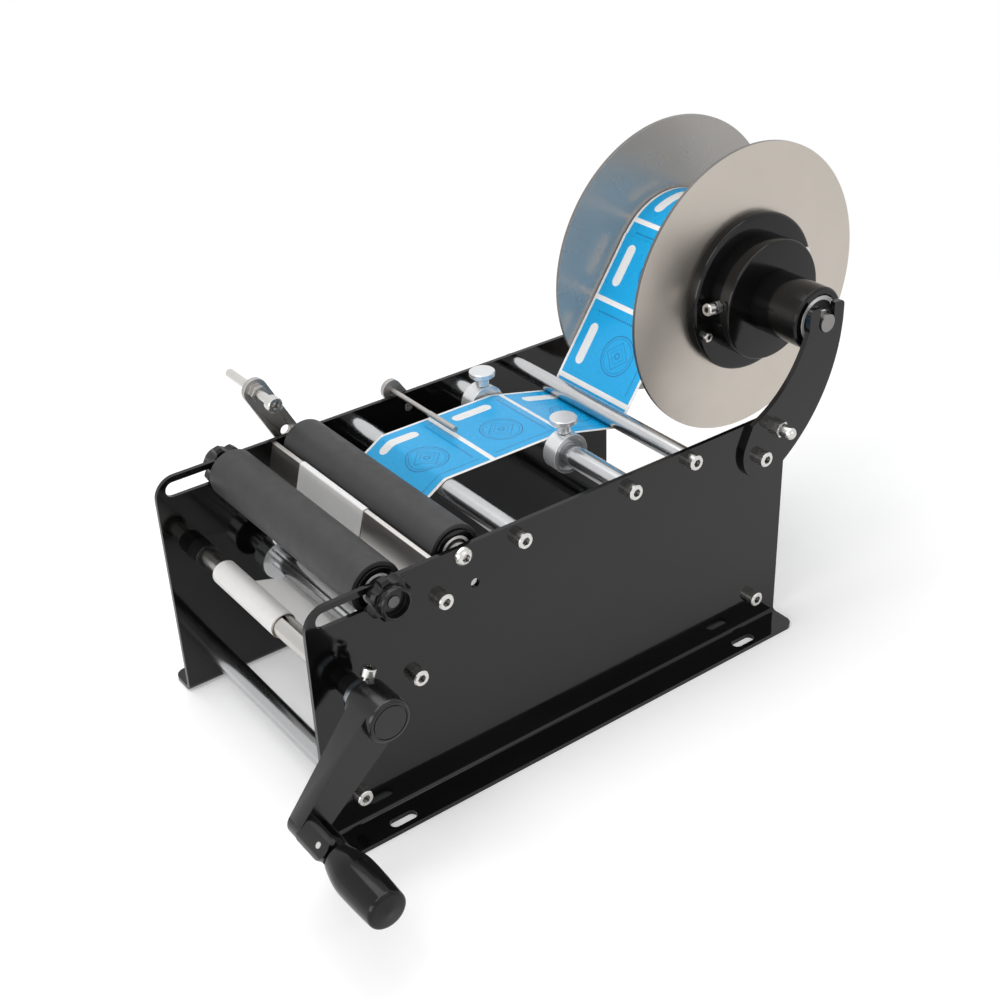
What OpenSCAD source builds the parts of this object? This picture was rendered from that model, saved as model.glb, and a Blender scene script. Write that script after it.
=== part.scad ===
// Hand-cranked labelling machine for round bottles, with a label reel on two curved arms.
// Millimetres. X runs from the bottle rollers to the reel, Y from the crank side to the far
// side and Z up. The origin is midway between the four foot slots, on the standing plane.

/* [Side plates] */
// Length of each side plate
plate_l = 300; // [280:1:340]
// Height of each side plate
plate_h = 134; // [128:1:150]
// Width over the outer faces of the two plates
frame_w = 152; // [146:1:180]
// Thickness of the plate sheet
sheet_t = 2.5; // [2:0.1:3.5]
// Radius of the plates' top corners
corner_r = 12; // [6:0.5:13]
// Reach of the foot flange beyond the plate
foot_w = 17; // [14:0.5:24]
// Inside radius of the flange bend
bend_r = 2; // [1:0.25:3]
// Radius of the flange corners
foot_corner_r = 6; // [2:0.5:8]
// Length of a foot slot, end to end
foot_slot_l = 15; // [10:0.5:20]
// Width of a foot slot
foot_slot_w = 6; // [5:0.1:7]
// Distance from a foot slot to the plate's nearer end
foot_slot_in = 35; // [25:1:60]
// Distance from a foot slot to the flange's outer edge
foot_slot_edge = 6; // [5:0.25:8]

/* [Cross rods] */
// Diameter of the two foot rods
foot_rod_d = 12; // [10:0.5:14]
// Distance of the foot rods from the plate ends
foot_rod_in = 19; // [14:0.5:26]
// Height of the foot rods
foot_rod_z = 20; // [16:0.5:30]
// Diameter of the rod that turns the backing paper
backing_rod_d = 10.5; // [9:0.5:12]
// Backing rod, distance from the plate's front
backing_rod_in = 55.5; // [52:0.5:58]
// Backing rod, depth below the plate's top
backing_rod_drop = 59.5; // [57:0.5:64]
// Diameter of the lead rod, before the rear roller
lead_rod_d = 12; // [10:0.5:13]
// Lead rod, distance from the plate's front
lead_rod_in = 119.5; // [116:0.5:126]
// Diameter of the guide rod, which carries the guide collars
guide_rod_d = 12; // [10:0.5:13]
// Guide rod, distance from the plate's front
guide_rod_in = 189.5; // [184:0.5:196]
// Depth of the lead and guide rods below the plate's top
web_rod_drop = 8.5; // [8:0.25:10]
// Diameter of the drop rod, below the reel
drop_rod_d = 10; // [8:0.5:12]
// Drop rod, distance from the plate's front
drop_rod_in = 230.5; // [226:0.5:236]
// Drop rod, depth below the plate's top
drop_rod_drop = 6.5; // [6:0.25:9]

/* [Screws] */
// Thread diameter of the cap and button screws
screw_d = 5; // [4:0.5:6]
// Length of the screws under the head
screw_l = 16; // [12:1:20]
// Radial clearance of a screw in a plate hole
screw_clear = 0.25; // [0.1:0.05:0.5]
// Thickness of a button head
button_h = 3; // [2.5:0.25:3.5]

/* [Rollers] */
// Outer diameter of the rubber on the two rollers
roller_d = 27; // [25:0.25:28]
// Wall of the rubber sleeve
rubber_t = 2.5; // [2:0.25:3]
// Gap between each end of a roller and its plate
roller_end_gap = 3; // [2:0.25:5]
// Diameter of the roller shafts
roller_shaft_d = 8; // [7:0.5:9]
// Outer diameter of the roller bearings
roller_bearing_d = 16; // [15:0.25:17]
// Width of the roller bearings
roller_bearing_w = 5; // [4:0.5:7]
// Rear roller, distance from the plate's front
rear_roller_in = 86; // [84:0.5:90]
// Rear roller, depth below the plate's top
rear_roller_drop = 5.2; // [5:0.1:6]
// Front roller, distance from the plate's front
front_roller_in = 42; // [30:0.5:46]
// Front roller, depth below the plate's top
front_roller_drop = 7.5; // [7:0.25:9]
// Front end of the roller slot, distance from the plate's front
slot_front_in = 10; // [9:0.5:14]
// Rear end of the roller slot, distance from the plate's front
slot_rear_in = 50; // [48:0.5:54]
// Diameter over the lobes of a star knob
star_d = 23; // [20:0.5:26]
// Number of lobes of a star knob
star_lobes = 7; // [5:1:9]
// Thickness of the lobed skirt of a star knob
star_skirt_t = 6.5; // [5:0.25:7.5]
// Diameter of the round cap of a star knob
star_cap_d = 16.5; // [14:0.25:17.5]
// Thickness of a star knob, skirt and cap
star_t = 11; // [9:0.25:13]
// Depth of the dish in a star knob's face
star_dish = 3.5; // [1:0.1:4]
// Diameter of the threaded ends of the front shaft
stud_d = 6; // [5:0.5:6.5]

/* [Peel bar] */
// Gap from the rear roller to the middle of the rounded peel edge
peel_gap = 2.1; // [2:0.1:3]
// Angle of the peel edge above the rear roller's axis, degrees
peel_rise = 13.3; // [10:0.1:16]
// Radius of the rounded peel edge
peel_tip_r = 0.6; // [0.5:0.05:0.8]
// Width of the flat top between the peel edge and the front edge
peel_land = 1.5; // [1.2:0.1:3.2]
// Length of the sloping face
peel_face_l = 27; // [25:0.5:29]
// Lean of the sloping face from upright, degrees
peel_lean = 12; // [9:0.5:16]
// Radius of the lower front edge
peel_heel_r = 2; // [1.5:0.25:3]
// Peel bar screws, distance from the plate's front
peel_screw_in = 72.3; // [70:0.1:74]
// Peel bar screws, depth below the plate's top
peel_screw_drop = 23; // [22:0.25:24]

/* [Take-up] */
// Take-up shaft, distance from the plate's front
takeup_in = 18.5; // [16:0.5:22]
// Take-up shaft, depth below the plate's top
takeup_drop = 47; // [42:0.5:50]
// Diameter of the take-up shaft
takeup_shaft_d = 8; // [7:0.5:9]
// Outer diameter of the slit take-up tube
takeup_tube_d = 12; // [11.5:0.25:13]
// Width of the slit in the take-up tube
takeup_slit = 1.6; // [1:0.1:2]
// Thickness of the backing paper wound on the tube
paper_t = 1; // [0.6:0.1:4]
// Diameter of the bush flanges
bush_flange_d = 13; // [11.5:0.25:15]
// Thickness of the bush flanges
bush_flange_t = 10.5; // [2:0.25:12]
// Wall of the bushes
bush_wall = 1.5; // [1.2:0.1:2]
// Length of the bushes outside the plates
bush_proud = 9.5; // [4:0.25:12]

/* [Crank] */
// Distance from the shaft to the grip
crank_r = 60; // [56:0.5:66]
// Direction of the crank at rest, degrees from +X towards +Z
crank_angle = 225; // [200:1:240]
// Diameter of the crank hub
hub_d = 22.5; // [22:0.5:26]
// Length of the crank hub
hub_l = 21; // [19:0.5:26]
// Width of the set collar
collar_w = 5; // [5:0.25:8]
// Diameter of the set collar
collar_d = 17.5; // [17:0.5:24]
// Diameter of the collar's set screw
set_screw_d = 4; // [3:0.5:5]
// Direction of the collar's set screw, degrees from +X towards +Z
set_screw_angle = 70; // [0:1:180]
// Gap from the collar to the head of its set screw
set_screw_out = 2.5; // [2.5:0.25:4]
// Distance of the crank arm's outer side from the hub face
arm_set_back = 4; // [3:0.25:5]
// Thickness of the crank arm at the hub
arm_root_t = 14; // [12:0.5:17]
// Thickness of the crank arm at the grip
arm_tip_t = 10; // [8:0.5:13]
// Width of the crank arm at the hub
arm_root_w = 22; // [18:0.5:23]
// Width of the crank arm at the grip
arm_tip_w = 15; // [14:0.5:18]
// Distance from the crank arm to the fold pin
fold_reach = 14; // [8:0.25:16]
// Diameter of the fold pin
fold_pin_d = 3; // [2.5:0.25:4]
// Thickness of the tongue in the fork
tongue_t = 6; // [5:0.25:7]
// Thickness of each fork ear
ear_t = 4; // [3:0.25:4.5]
// Diameter of the rounded ears
ear_d = 13; // [11:0.25:13.5]
// Length of the grip
grip_l = 40; // [36:0.5:46]
// Largest diameter of the grip
grip_d = 20.5; // [19:0.25:22]
// Diameter of the grip at its neck
grip_neck_d = 15; // [13.5:0.25:17]
// Diameter of the grip at its end
grip_end_d = 19; // [18:0.25:20.5]
// Diameter of the grip spindle
spindle_d = 6; // [5:0.25:7]

/* [Reel] */
// Reel axis, distance behind the plates' rear
reel_out = 23; // [18:0.5:28]
// Reel axis, height above the plates' top
reel_rise = 44; // [40:0.5:50]
// Diameter of the reel shaft
reel_shaft_d = 10; // [9:0.5:11]
// Diameter of the two discs
disc_d = 165; // [150:1:175]
// Thickness of the discs
disc_t = 2; // [1.5:0.1:3]
// Outer diameter of the hub tube
hub_tube_d = 35; // [33:0.5:37]
// Outer diameter of the reel bearings
reel_bearing_d = 26; // [24:0.5:27]
// Wall of the outer rings of the reel bearings
reel_ring_t = 2.2; // [1.4:0.1:3]
// Width of the reel bearings
reel_bearing_w = 8; // [6:0.5:10]
// Gap from the hub tube to each arm
reel_end_gap = 3; // [2:0.25:4]
// Diameter of the hub flanges
hub_flange_d = 90; // [80:1:100]
// Thickness of the hub flanges
hub_flange_t = 6; // [4:0.5:8]
// Diameter of the hub bosses
hub_boss_d = 68; // [60:1:72]
// Length of the hub bosses
hub_boss_l = 14; // [12:0.5:16]
// Direction of the hub lock screw, degrees from +X towards +Z
lock_angle = 174; // [160:1:200]
// Direction of the first small hub screw, degrees from +X towards +Z
hub_screw_angle = 22.5; // [0:0.5:90]
// Outer diameter of the label roll
roll_d = 83; // [60:1:120]
// Wall of the card core
core_t = 2; // [1.5:0.25:3]

/* [Reel arms] */
// Thickness of the arms
arm_t = 3; // [2.5:0.5:5]
// Width of an arm's head
arm_head_w = 25.5; // [24:0.5:30]
// Distance of the head's middle ahead of the reel axis
arm_head_ahead = 0; // [0:0.25:2]
// Rounding of the head's corners
arm_head_r = 3; // [1:0.25:4]
// Height of the head above the reel axis
arm_head_up = 10; // [9:0.5:13]
// Radius of an arm's rear edge
arm_outer_r = 93; // [90:0.5:96]
// Height of the rear edge's centre above the reel axis
arm_outer_up = 2; // [1:0.25:3]
// Radius of an arm's front edge
arm_inner_r = 65; // [63:0.5:67]
// Distance of the front edge's centre behind the rear edge's
arm_inner_back = 4.9; // [4:0.1:5.5]
// Height of the front edge's centre above the rear edge's
arm_inner_up = 13.8; // [13:0.1:15]
// Diameter of an arm's round foot
arm_foot_d = 34; // [33:0.5:38]
// Foot of the arm, distance from the plates' rear
arm_foot_in = 17; // [17:0.25:19]
// Foot of the arm, depth below the plates' top
arm_foot_drop = 18; // [17:0.25:19]
// Arm's cap screw, distance ahead of the middle of the foot
arm_screw_ahead = 4; // [2:0.5:6]
// Arm's cap screw, depth below the middle of the foot
arm_screw_down = 3; // [1:0.5:6]
// Arm's bolt, distance behind the middle of the foot
arm_bolt_back = 7.3; // [6:0.1:8]
// Arm's bolt, height above the middle of the foot
arm_bolt_up = 11; // [10:0.25:12]
// Distance from the arm to the middle of the round dome on its bolt
dome_out = 9; // [6:0.5:11]

/* [Label web] */
// Width of the label web
web_w = 61; // [40:1:70]
// Middle of the web, offset towards the far plate
web_mid_y = 13.5; // [8:0.5:16]
// Thickness of the web
web_t = 0.25; // [0.2:0.05:0.4]
// Clearance of the web from what it runs on
web_clear = 0.3; // [0.3:0.05:0.5]

/* [Guides] */
// Diameter of the guide collars
guide_d = 22; // [20:0.5:26]
// Width of the guide collars
guide_w = 10; // [8:0.5:12]
// Gap from the web's edge to a guide collar
guide_gap = 1.5; // [1:0.25:4]
// Gap from the web's edge to a collar on the backing rod
backing_gap = 9; // [1:0.5:9.5]
// Diameter of the thumb screw heads
thumb_d = 14.6; // [12:0.2:18]
// Thickness of the thumb screw heads
thumb_t = 4.2; // [3:0.1:6]
// Diameter of the thumb screw necks
thumb_neck_d = 7.5; // [6.5:0.25:9]
// Height of the thumb screw necks
thumb_neck_h = 4.3; // [3:0.1:6]

/* [Stop and pointer] */
// Width of the two levers
lever_w = 14; // [12:0.5:15]
// Thickness of the two levers
lever_t = 3; // [2.5:0.25:4]
// Stop pivot, distance from the plate's front
stop_in = 92.3; // [91:0.1:94]
// Stop pivot, depth below the plate's top
stop_drop = 23; // [20:0.5:26]
// Length of the stop lever between its pivot and the stop screw
stop_lever_l = 57; // [54:0.5:66]
// Lean of the stop lever towards the front, degrees
stop_lean = 27.3; // [20:0.5:32]
// Diameter of the stop screw
stop_screw_d = 5; // [4.5:0.5:6]
// Length of the stop screw under its head
stop_screw_l = 45; // [42:1:55]
// Gap from the left plate's inner face to the stop screw's head
stop_set = 10; // [9:0.5:16]
// Pointer pivot, distance from the plate's front
pointer_in = 155; // [152:0.5:158]
// Pointer pivot, depth below the plate's top
pointer_drop = 9; // [8.5:0.25:9.5]
// Length of the pointer lever between its pivot and the pointer
pointer_lever_l = 14.5; // [14:0.25:16]
// Lean of the pointer lever towards the front, degrees
pointer_lean = 34; // [20:0.5:36]
// Diameter of the pointer rod
pointer_d = 2.75; // [2.5:0.25:3.5]
// Reach of the pointer from the left plate's inner face
pointer_l = 58; // [50:1:64]
// Length of the sleeve on the pointer's tip
sleeve_l = 24; // [15:1:35]

/* [Fits] */
// Radial gap of a turning or sliding fit
run_gap = 0.05; // [0.03:0.01:0.08]
// Radial gap between pieces that are fixed together
seat_gap = 0.03; // [0.02:0.01:0.05]

/* [Hidden] */
$fn = 64;

black = [0.06, 0.06, 0.065];
chrome = [0.82, 0.83, 0.85];
steel = [0.68, 0.67, 0.65];
rubber = [0.2, 0.2, 0.21];
white = [0.93, 0.93, 0.92];
blue = [0.24, 0.62, 0.9];

// Reference faces
front_x = -plate_l / 2;
rear_x = plate_l / 2;
outer_y = frame_w / 2;
inner_y = outer_y - sheet_t;
foot_slot_y = outer_y + foot_w - foot_slot_edge;
foot_slot_x = plate_l / 2 - foot_slot_in;

// Axes across the machine, as [X, Z]
foot_rods_at = [for (s = [-1, 1]) [s * (plate_l / 2 - foot_rod_in), foot_rod_z]];
backing_at = [front_x + backing_rod_in, plate_h - backing_rod_drop];
lead_at = [front_x + lead_rod_in, plate_h - web_rod_drop];
guide_at = [front_x + guide_rod_in, plate_h - web_rod_drop];
drop_at = [front_x + drop_rod_in, plate_h - drop_rod_drop];
rear_at = [front_x + rear_roller_in, plate_h - rear_roller_drop];
front_at = [front_x + front_roller_in, plate_h - front_roller_drop];
takeup_at = [front_x + takeup_in, plate_h - takeup_drop];
peel_screw_at = [front_x + peel_screw_in, plate_h - peel_screw_drop];
reel_at = [rear_x + reel_out, plate_h + reel_rise];
stop_at = [front_x + stop_in, plate_h - stop_drop];
pointer_at = [front_x + pointer_in, plate_h - pointer_drop];
arm_foot_at = [rear_x - arm_foot_in, plate_h - arm_foot_drop];
tie_points = concat(foot_rods_at, [backing_at, peel_screw_at, lead_at, guide_at, drop_at]);

// The arm's cap screw and its bolt stand either side of the middle of the arm's foot
arm_screw_at = arm_foot_at + [-arm_screw_ahead, -arm_screw_down];
arm_bolt_at = arm_foot_at + [arm_bolt_back, arm_bolt_up];

// Rollers
roller_face = inner_y - roller_end_gap;
core_d = roller_d - 2 * rubber_t;
bearing_ring_t = 1.4;
shield_inset = 1;
front_slot_at = [front_x + slot_front_in, front_at[1]];
rear_slot_at = [front_x + slot_rear_in, front_at[1]];

// Peel bar: the rounded peel edge, the front edge of its flat top and the heel of its face
peel_reach = roller_d / 2 + peel_gap;
peel_tip_at = rear_at + peel_reach * [-cos(peel_rise), sin(peel_rise)];
peel_edge_at = peel_tip_at + peel_land * [-1, -0.1];
peel_heel_at = peel_edge_at + peel_face_l * [-sin(peel_lean), -cos(peel_lean)];
peel_roller_clear = 1.5;
peel_margin = 6;

// Take-up and crank, along -Y from the right plate
paper_d = takeup_tube_d + 2 * paper_t;
bush_d = takeup_shaft_d + 2 * bush_wall;
collar_y = -outer_y - bush_proud - 0.5;
hub_y = collar_y - collar_w;
hub_face_y = hub_y - hub_l;
shaft_end_y = hub_face_y + 6;
crank_out_y = hub_face_y + arm_set_back;
fold_y = crank_out_y - fold_reach;
neck_y = fold_y - ear_d / 2 - 1;
grip_y = neck_y - 1;
grip_end_y = grip_y - grip_l;
grip_at = takeup_at + crank_r * [cos(crank_angle), sin(crank_angle)];

// Inner faces of the two levers. The stop lever stands off, clear of the roller's screw head.
lever_y = outer_y + 2 * run_gap;
stop_boss_t = button_h + 0.5;
stop_y = lever_y + stop_boss_t;

// Label web
web_y0 = web_mid_y - web_w / 2;
web_y1 = web_mid_y + web_w / 2;
disc_gap = 0.8;
near_disc_y = web_y0 - disc_gap;
far_disc_y = web_y1 + disc_gap;

// Reel
tube_end_y = outer_y - reel_end_gap;
core_id = hub_tube_d + 0.4;

// The web runs round these circles, from the reel to the take-up. Each is [X, Z, R], with R
// positive where the circle lies to the left of the web as it travels.
web_off = web_clear + web_t / 2;
web_circles = [
    [reel_at[0], reel_at[1], roll_d / 2 + web_off],
    [drop_at[0], drop_at[1], -drop_rod_d / 2 - web_off],
    [guide_at[0], guide_at[1], guide_rod_d / 2 + web_off],
    [lead_at[0], lead_at[1], lead_rod_d / 2 + web_off],
    [rear_at[0], rear_at[1], -roller_d / 2 - web_off],
    [peel_tip_at[0], peel_tip_at[1], peel_tip_r + web_off],
    [peel_edge_at[0], peel_edge_at[1], peel_tip_r + web_off],
    [peel_heel_at[0], peel_heel_at[1], peel_heel_r + web_off],
    [backing_at[0], backing_at[1], -backing_rod_d / 2 - web_off],
    [takeup_at[0], takeup_at[1], -paper_d / 2 - web_off]
];
web_last = len(web_circles) - 1;
web_step = 8;

// Heading of the straight run that leaves circle a and meets circle b, degrees
function run_heading(a, b) =
    atan2(b[1] - a[1], b[0] - a[0])
    - asin((b[2] - a[2]) / norm([b[0] - a[0], b[1] - a[1]]));

// Point of the circle where the web has heading h
function touch(c, h) = [c[0] + c[2] * sin(h), c[1] - c[2] * cos(h)];

// Point beside the web's middle, s to the left of it
function beside(p, h, s) = p + s * [-sin(h), cos(h)];

headings = [for (i = [0 : web_last - 1]) run_heading(web_circles[i], web_circles[i + 1])];

// Turn of the web round circle i: left is positive
function web_turn(i) =
    let (d = headings[i] - headings[i - 1])
    web_circles[i][2] > 0 ? ((d % 360) + 360) % 360 : -(((-d % 360) + 360) % 360);

// Places along the web as [point, heading], from circle first to circle last
function web_places(first, last) = [
    for (i = [first : last])
        let (turn = web_turn(i), steps = ceil(abs(turn) / web_step))
        for (k = [0 : steps])
            let (h = headings[i - 1] + turn * k / steps)
            [touch(web_circles[i], h), h]
];

// Outline of a strip of the web through the given places
function strip(places) = concat(
    [for (q = places) beside(q[0], q[1], web_t / 2)],
    [for (i = [len(places) - 1 : -1 : 0]) beside(places[i][0], places[i][1], -web_t / 2)]
);

// Sizes of standard screws and nuts of thread d
function cap_head_d(d) = 1.5 * d + 1;
function cap_socket(d) = 0.8 * d;
function nut_af(d) = 1.6 * d;
function nut_h(d) = 0.8 * d;

// Placing helpers
module at_xz(p) {
    translate([p[0], 0, p[1]])
        children();
}

module both_sides() {
    children();
    mirror([0, 1, 0])
        children();
}

// Extrudes an [X, Z] outline from y0 to y1
module slab(y0, y1) {
    translate([0, y1, 0])
        rotate([90, 0, 0])
            linear_extrude(y1 - y0)
                children();
}

// Turns the shape's own Z axis to +Y and moves its foot to y
module along_y(y) {
    translate([0, y, 0])
        rotate([-90, 0, 0])
            children();
}

module y_rod(d, y0, y1) {
    along_y(y0)
        cylinder(d = d, h = y1 - y0);
}

module y_ring(d, bore, y0, y1) {
    difference() {
        y_rod(d, y0, y1);
        y_rod(bore, y0 - 1, y1 + 1);
    }
}

// A straight bar of width w with round ends, from the origin along +X
module bar_outline(w, l) {
    circle(d = w);
    translate([0, -w / 2])
        square([l, w]);
    translate([l, 0])
        circle(d = w);
}

// Screws and nuts
// Cap screw with its head above z = 0 and its shank below
module cap_screw(d, l) {
    head_r = cap_head_d(d) / 2;
    edge = 0.1 * d;
    difference() {
        rotate_extrude()
            polygon([
                [0, -l], [d / 2, -l], [d / 2, 0], [head_r, 0],
                [head_r, d - edge], [head_r - edge, d], [0, d]
            ]);
        translate([0, 0, d / 2])
            cylinder(d = cap_socket(d) / cos(30), h = d, $fn = 6);
    }
}

// Button-head screw, placed like the cap screw
module button_screw(d, l) {
    head_r = d;
    difference() {
        rotate_extrude()
            polygon(concat(
                [[0, -l], [d / 2, -l], [d / 2, 0]],
                [for (a = [0 : 15 : 60]) [head_r * cos(a), button_h * sin(a) / sin(60)]],
                [[0, button_h]]
            ));
        translate([0, 0, button_h / 3])
            cylinder(d = 0.8 * d / cos(30), h = button_h, $fn = 6);
    }
}

module hex_nut(d, h) {
    difference() {
        cylinder(d = nut_af(d) / cos(30), h = h, $fn = 6);
        translate([0, 0, -1])
            cylinder(d = d + 2 * seat_gap, h = h + 2);
    }
}

// Side plates
module plate_wall_outline() {
    wall_z = sheet_t + bend_r;
    translate([front_x, wall_z])
        square([plate_l, plate_h - corner_r - wall_z]);
    translate([front_x + corner_r, plate_h - corner_r - 1])
        square([plate_l - 2 * corner_r, corner_r + 1]);
    for (s = [-1, 1])
        translate([s * (plate_l / 2 - corner_r), plate_h - corner_r])
            circle(corner_r);
}

module plate_holes_outline() {
    for (p = concat(tie_points, [rear_at, arm_screw_at, arm_bolt_at]))
        translate(p)
            circle(d = screw_d + 2 * screw_clear);
    translate(takeup_at)
        circle(d = bush_d + 2 * seat_gap);
    translate(front_slot_at)
        bar_outline(roller_shaft_d + 2 * screw_clear, rear_slot_at[0] - front_slot_at[0]);
    translate(stop_at)
        circle(d = screw_d + 2 * seat_gap);
}

module foot_outline() {
    edge_y = outer_y + foot_w;
    bend_y = outer_y + bend_r;
    translate([front_x, bend_y])
        square([plate_l, edge_y - foot_corner_r - bend_y]);
    translate([front_x + foot_corner_r, edge_y - foot_corner_r - 1])
        square([plate_l - 2 * foot_corner_r, foot_corner_r + 1]);
    for (s = [-1, 1])
        translate([s * (plate_l / 2 - foot_corner_r), edge_y - foot_corner_r])
            circle(foot_corner_r);
}

module foot_slots_outline() {
    run = foot_slot_l - foot_slot_w;
    for (s = [-1, 1])
        translate([s * foot_slot_x - run / 2, foot_slot_y])
            bar_outline(foot_slot_w, run);
}

// The quarter bend between wall and foot, swept along X
module foot_bend() {
    translate([front_x, outer_y + bend_r, sheet_t + bend_r])
        rotate([90, 0, 90])
            linear_extrude(plate_l)
                intersection() {
                    difference() {
                        circle(bend_r + sheet_t);
                        circle(bend_r);
                    }
                    translate([-bend_r - sheet_t, -bend_r - sheet_t])
                        square(bend_r + sheet_t);
                }
}

// The left plate; the right one is its mirror image
module side_plate() {
    slab(inner_y, outer_y)
        difference() {
            plate_wall_outline();
            plate_holes_outline();
        }
    foot_bend();
    linear_extrude(sheet_t)
        difference() {
            foot_outline();
            foot_slots_outline();
        }
}

module right_plate() {
    color(black)
        mirror([0, 1, 0])
            side_plate();
}

module left_plate() {
    color(black)
        difference() {
            side_plate();
            at_xz(pointer_at)
                y_rod(screw_d + 2 * seat_gap, inner_y - 1, outer_y + 1);
        }
}

// Cross rods
module tapped_ends(l) {
    both_sides()
        y_rod(screw_d + 2 * seat_gap, l - screw_l + sheet_t - 2, l + 1);
}

module cross_rod(d) {
    difference() {
        y_rod(d, -inner_y, inner_y);
        tapped_ends(inner_y);
    }
}

module foot_rods() {
    color(chrome)
        for (p = foot_rods_at)
            at_xz(p)
                cross_rod(foot_rod_d);
}

module backing_rod() {
    color(chrome)
        at_xz(backing_at)
            cross_rod(backing_rod_d);
}

module lead_rod() {
    color(chrome)
        at_xz(lead_at)
            cross_rod(lead_rod_d);
}

module guide_rod() {
    color(chrome)
        at_xz(guide_at)
            cross_rod(guide_rod_d);
}

module drop_rod() {
    color(chrome)
        at_xz(drop_at)
            cross_rod(drop_rod_d);
}

// Peel bar
module peel_outline() {
    tip = [peel_tip_at[0], peel_tip_at[1], peel_tip_r];
    edge = [peel_edge_at[0], peel_edge_at[1], peel_tip_r];
    heel = [peel_heel_at[0], peel_heel_at[1], peel_heel_r];
    top_h = run_heading(tip, edge);
    face_h = run_heading(edge, heel);
    floor_z = min(peel_heel_at[1] - peel_heel_r, peel_screw_at[1] - peel_margin);
    back_x = peel_screw_at[0] + peel_margin;
    difference() {
        union() {
            for (p = [peel_tip_at, peel_edge_at])
                translate(p)
                    circle(peel_tip_r);
            translate(peel_heel_at)
                circle(peel_heel_r);
            polygon([
                touch(tip, top_h), touch(edge, top_h), touch(edge, face_h), touch(heel, face_h),
                [peel_heel_at[0], floor_z], [back_x, floor_z],
                [back_x, peel_screw_at[1] + peel_margin], [peel_tip_at[0] + peel_tip_r, peel_tip_at[1]]
            ]);
        }
        translate(rear_at)
            circle(d = roller_d + 2 * peel_roller_clear);
    }
}

module peel_bar() {
    color(steel)
        difference() {
            slab(-inner_y, inner_y)
                peel_outline();
            at_xz(peel_screw_at)
                tapped_ends(inner_y);
        }
}

// Screws through the side plates
module tie_screws() {
    for (p = tie_points)
        at_xz(p)
            along_y(outer_y)
                cap_screw(screw_d, screw_l);
}

module tie_screws_right() {
    color(chrome)
        mirror([0, 1, 0])
            tie_screws();
}

module tie_screws_left() {
    color(chrome)
        tie_screws();
}

// Button-head screw that a lever turns on, under a head at y
module pivot_screw(p, y) {
    at_xz(p)
        along_y(y)
            button_screw(screw_d, y - inner_y);
}

module button_screws() {
    color(chrome) {
        both_sides()
            at_xz(rear_at)
                along_y(outer_y)
                    button_screw(screw_d, screw_l);
        pivot_screw(stop_at, stop_y + lever_t + 2 * run_gap);
        pivot_screw(pointer_at, lever_y + lever_t + 2 * run_gap);
    }
}

// Rollers
module roller_core() {
    pocket = roller_bearing_w;
    difference() {
        y_rod(core_d - 2 * seat_gap, -roller_face, roller_face);
        y_rod(roller_shaft_d + 4, -roller_face - 1, roller_face + 1);
        both_sides()
            y_rod(roller_bearing_d + 2 * seat_gap, roller_face - pocket, roller_face + 1);
    }
}

module roller_sleeve() {
    sleeve_end = roller_face - 1.5;
    y_ring(roller_d, core_d, -sleeve_end, sleeve_end);
}

// Outer ring of a bearing with its shield, between y0 and y1
module bearing_outer(d, wall, bore, y0, y1) {
    y_ring(d, d - 2 * wall, y0, y1);
    y_ring(d - 2 * wall + 0.2, bore, y0 + shield_inset, y1 - shield_inset);
}

module bearing_outers() {
    bore = roller_shaft_d + 2 * bearing_ring_t + 4 * run_gap;
    both_sides()
        bearing_outer(roller_bearing_d, bearing_ring_t, bore, roller_face - roller_bearing_w, roller_face);
}

// Inner rings, each long enough to hold the roller off its plate
module bearing_inners(d) {
    both_sides()
        y_ring(d + 2 * bearing_ring_t, d + 2 * seat_gap, roller_face - roller_bearing_w, inner_y - run_gap);
}

module rear_roller_shaft() {
    color(steel)
        at_xz(rear_at)
            cross_rod(roller_shaft_d);
}

module rear_bearing_inners() {
    color(chrome)
        at_xz(rear_at)
            bearing_inners(roller_shaft_d);
}

module rear_roller_core() {
    color(black)
        at_xz(rear_at)
            roller_core();
}

module rear_roller_sleeve() {
    color(rubber)
        at_xz(rear_at)
            roller_sleeve();
}

module rear_bearing_outers() {
    color(chrome)
        at_xz(rear_at)
            bearing_outers();
}

// The front shaft runs through both slots and into the knobs
module front_roller_shaft() {
    stud_end = outer_y + star_t - star_dish + 0.5;
    shoulder = outer_y - sheet_t / 2;
    color(steel)
        at_xz(front_at) {
            y_rod(roller_shaft_d, -shoulder, shoulder);
            y_rod(stud_d, -stud_end, stud_end);
        }
}

module front_bearing_inners() {
    color(chrome)
        at_xz(front_at)
            bearing_inners(roller_shaft_d);
}

module front_roller_core() {
    color(black)
        at_xz(front_at)
            roller_core();
}

module front_roller_sleeve() {
    color(rubber)
        at_xz(front_at)
            roller_sleeve();
}

module front_bearing_outers() {
    color(chrome)
        at_xz(front_at)
            bearing_outers();
}

// Lobes round the rim of a star knob, cut between by scallops
module star_outline() {
    scallop_d = 0.3 * star_d;
    difference() {
        circle(d = star_d);
        for (k = [0 : star_lobes - 1])
            rotate(360 * (k + 0.5) / star_lobes)
                translate([star_d / 2 + 0.12 * scallop_d, 0])
                    circle(d = scallop_d);
    }
}

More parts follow.
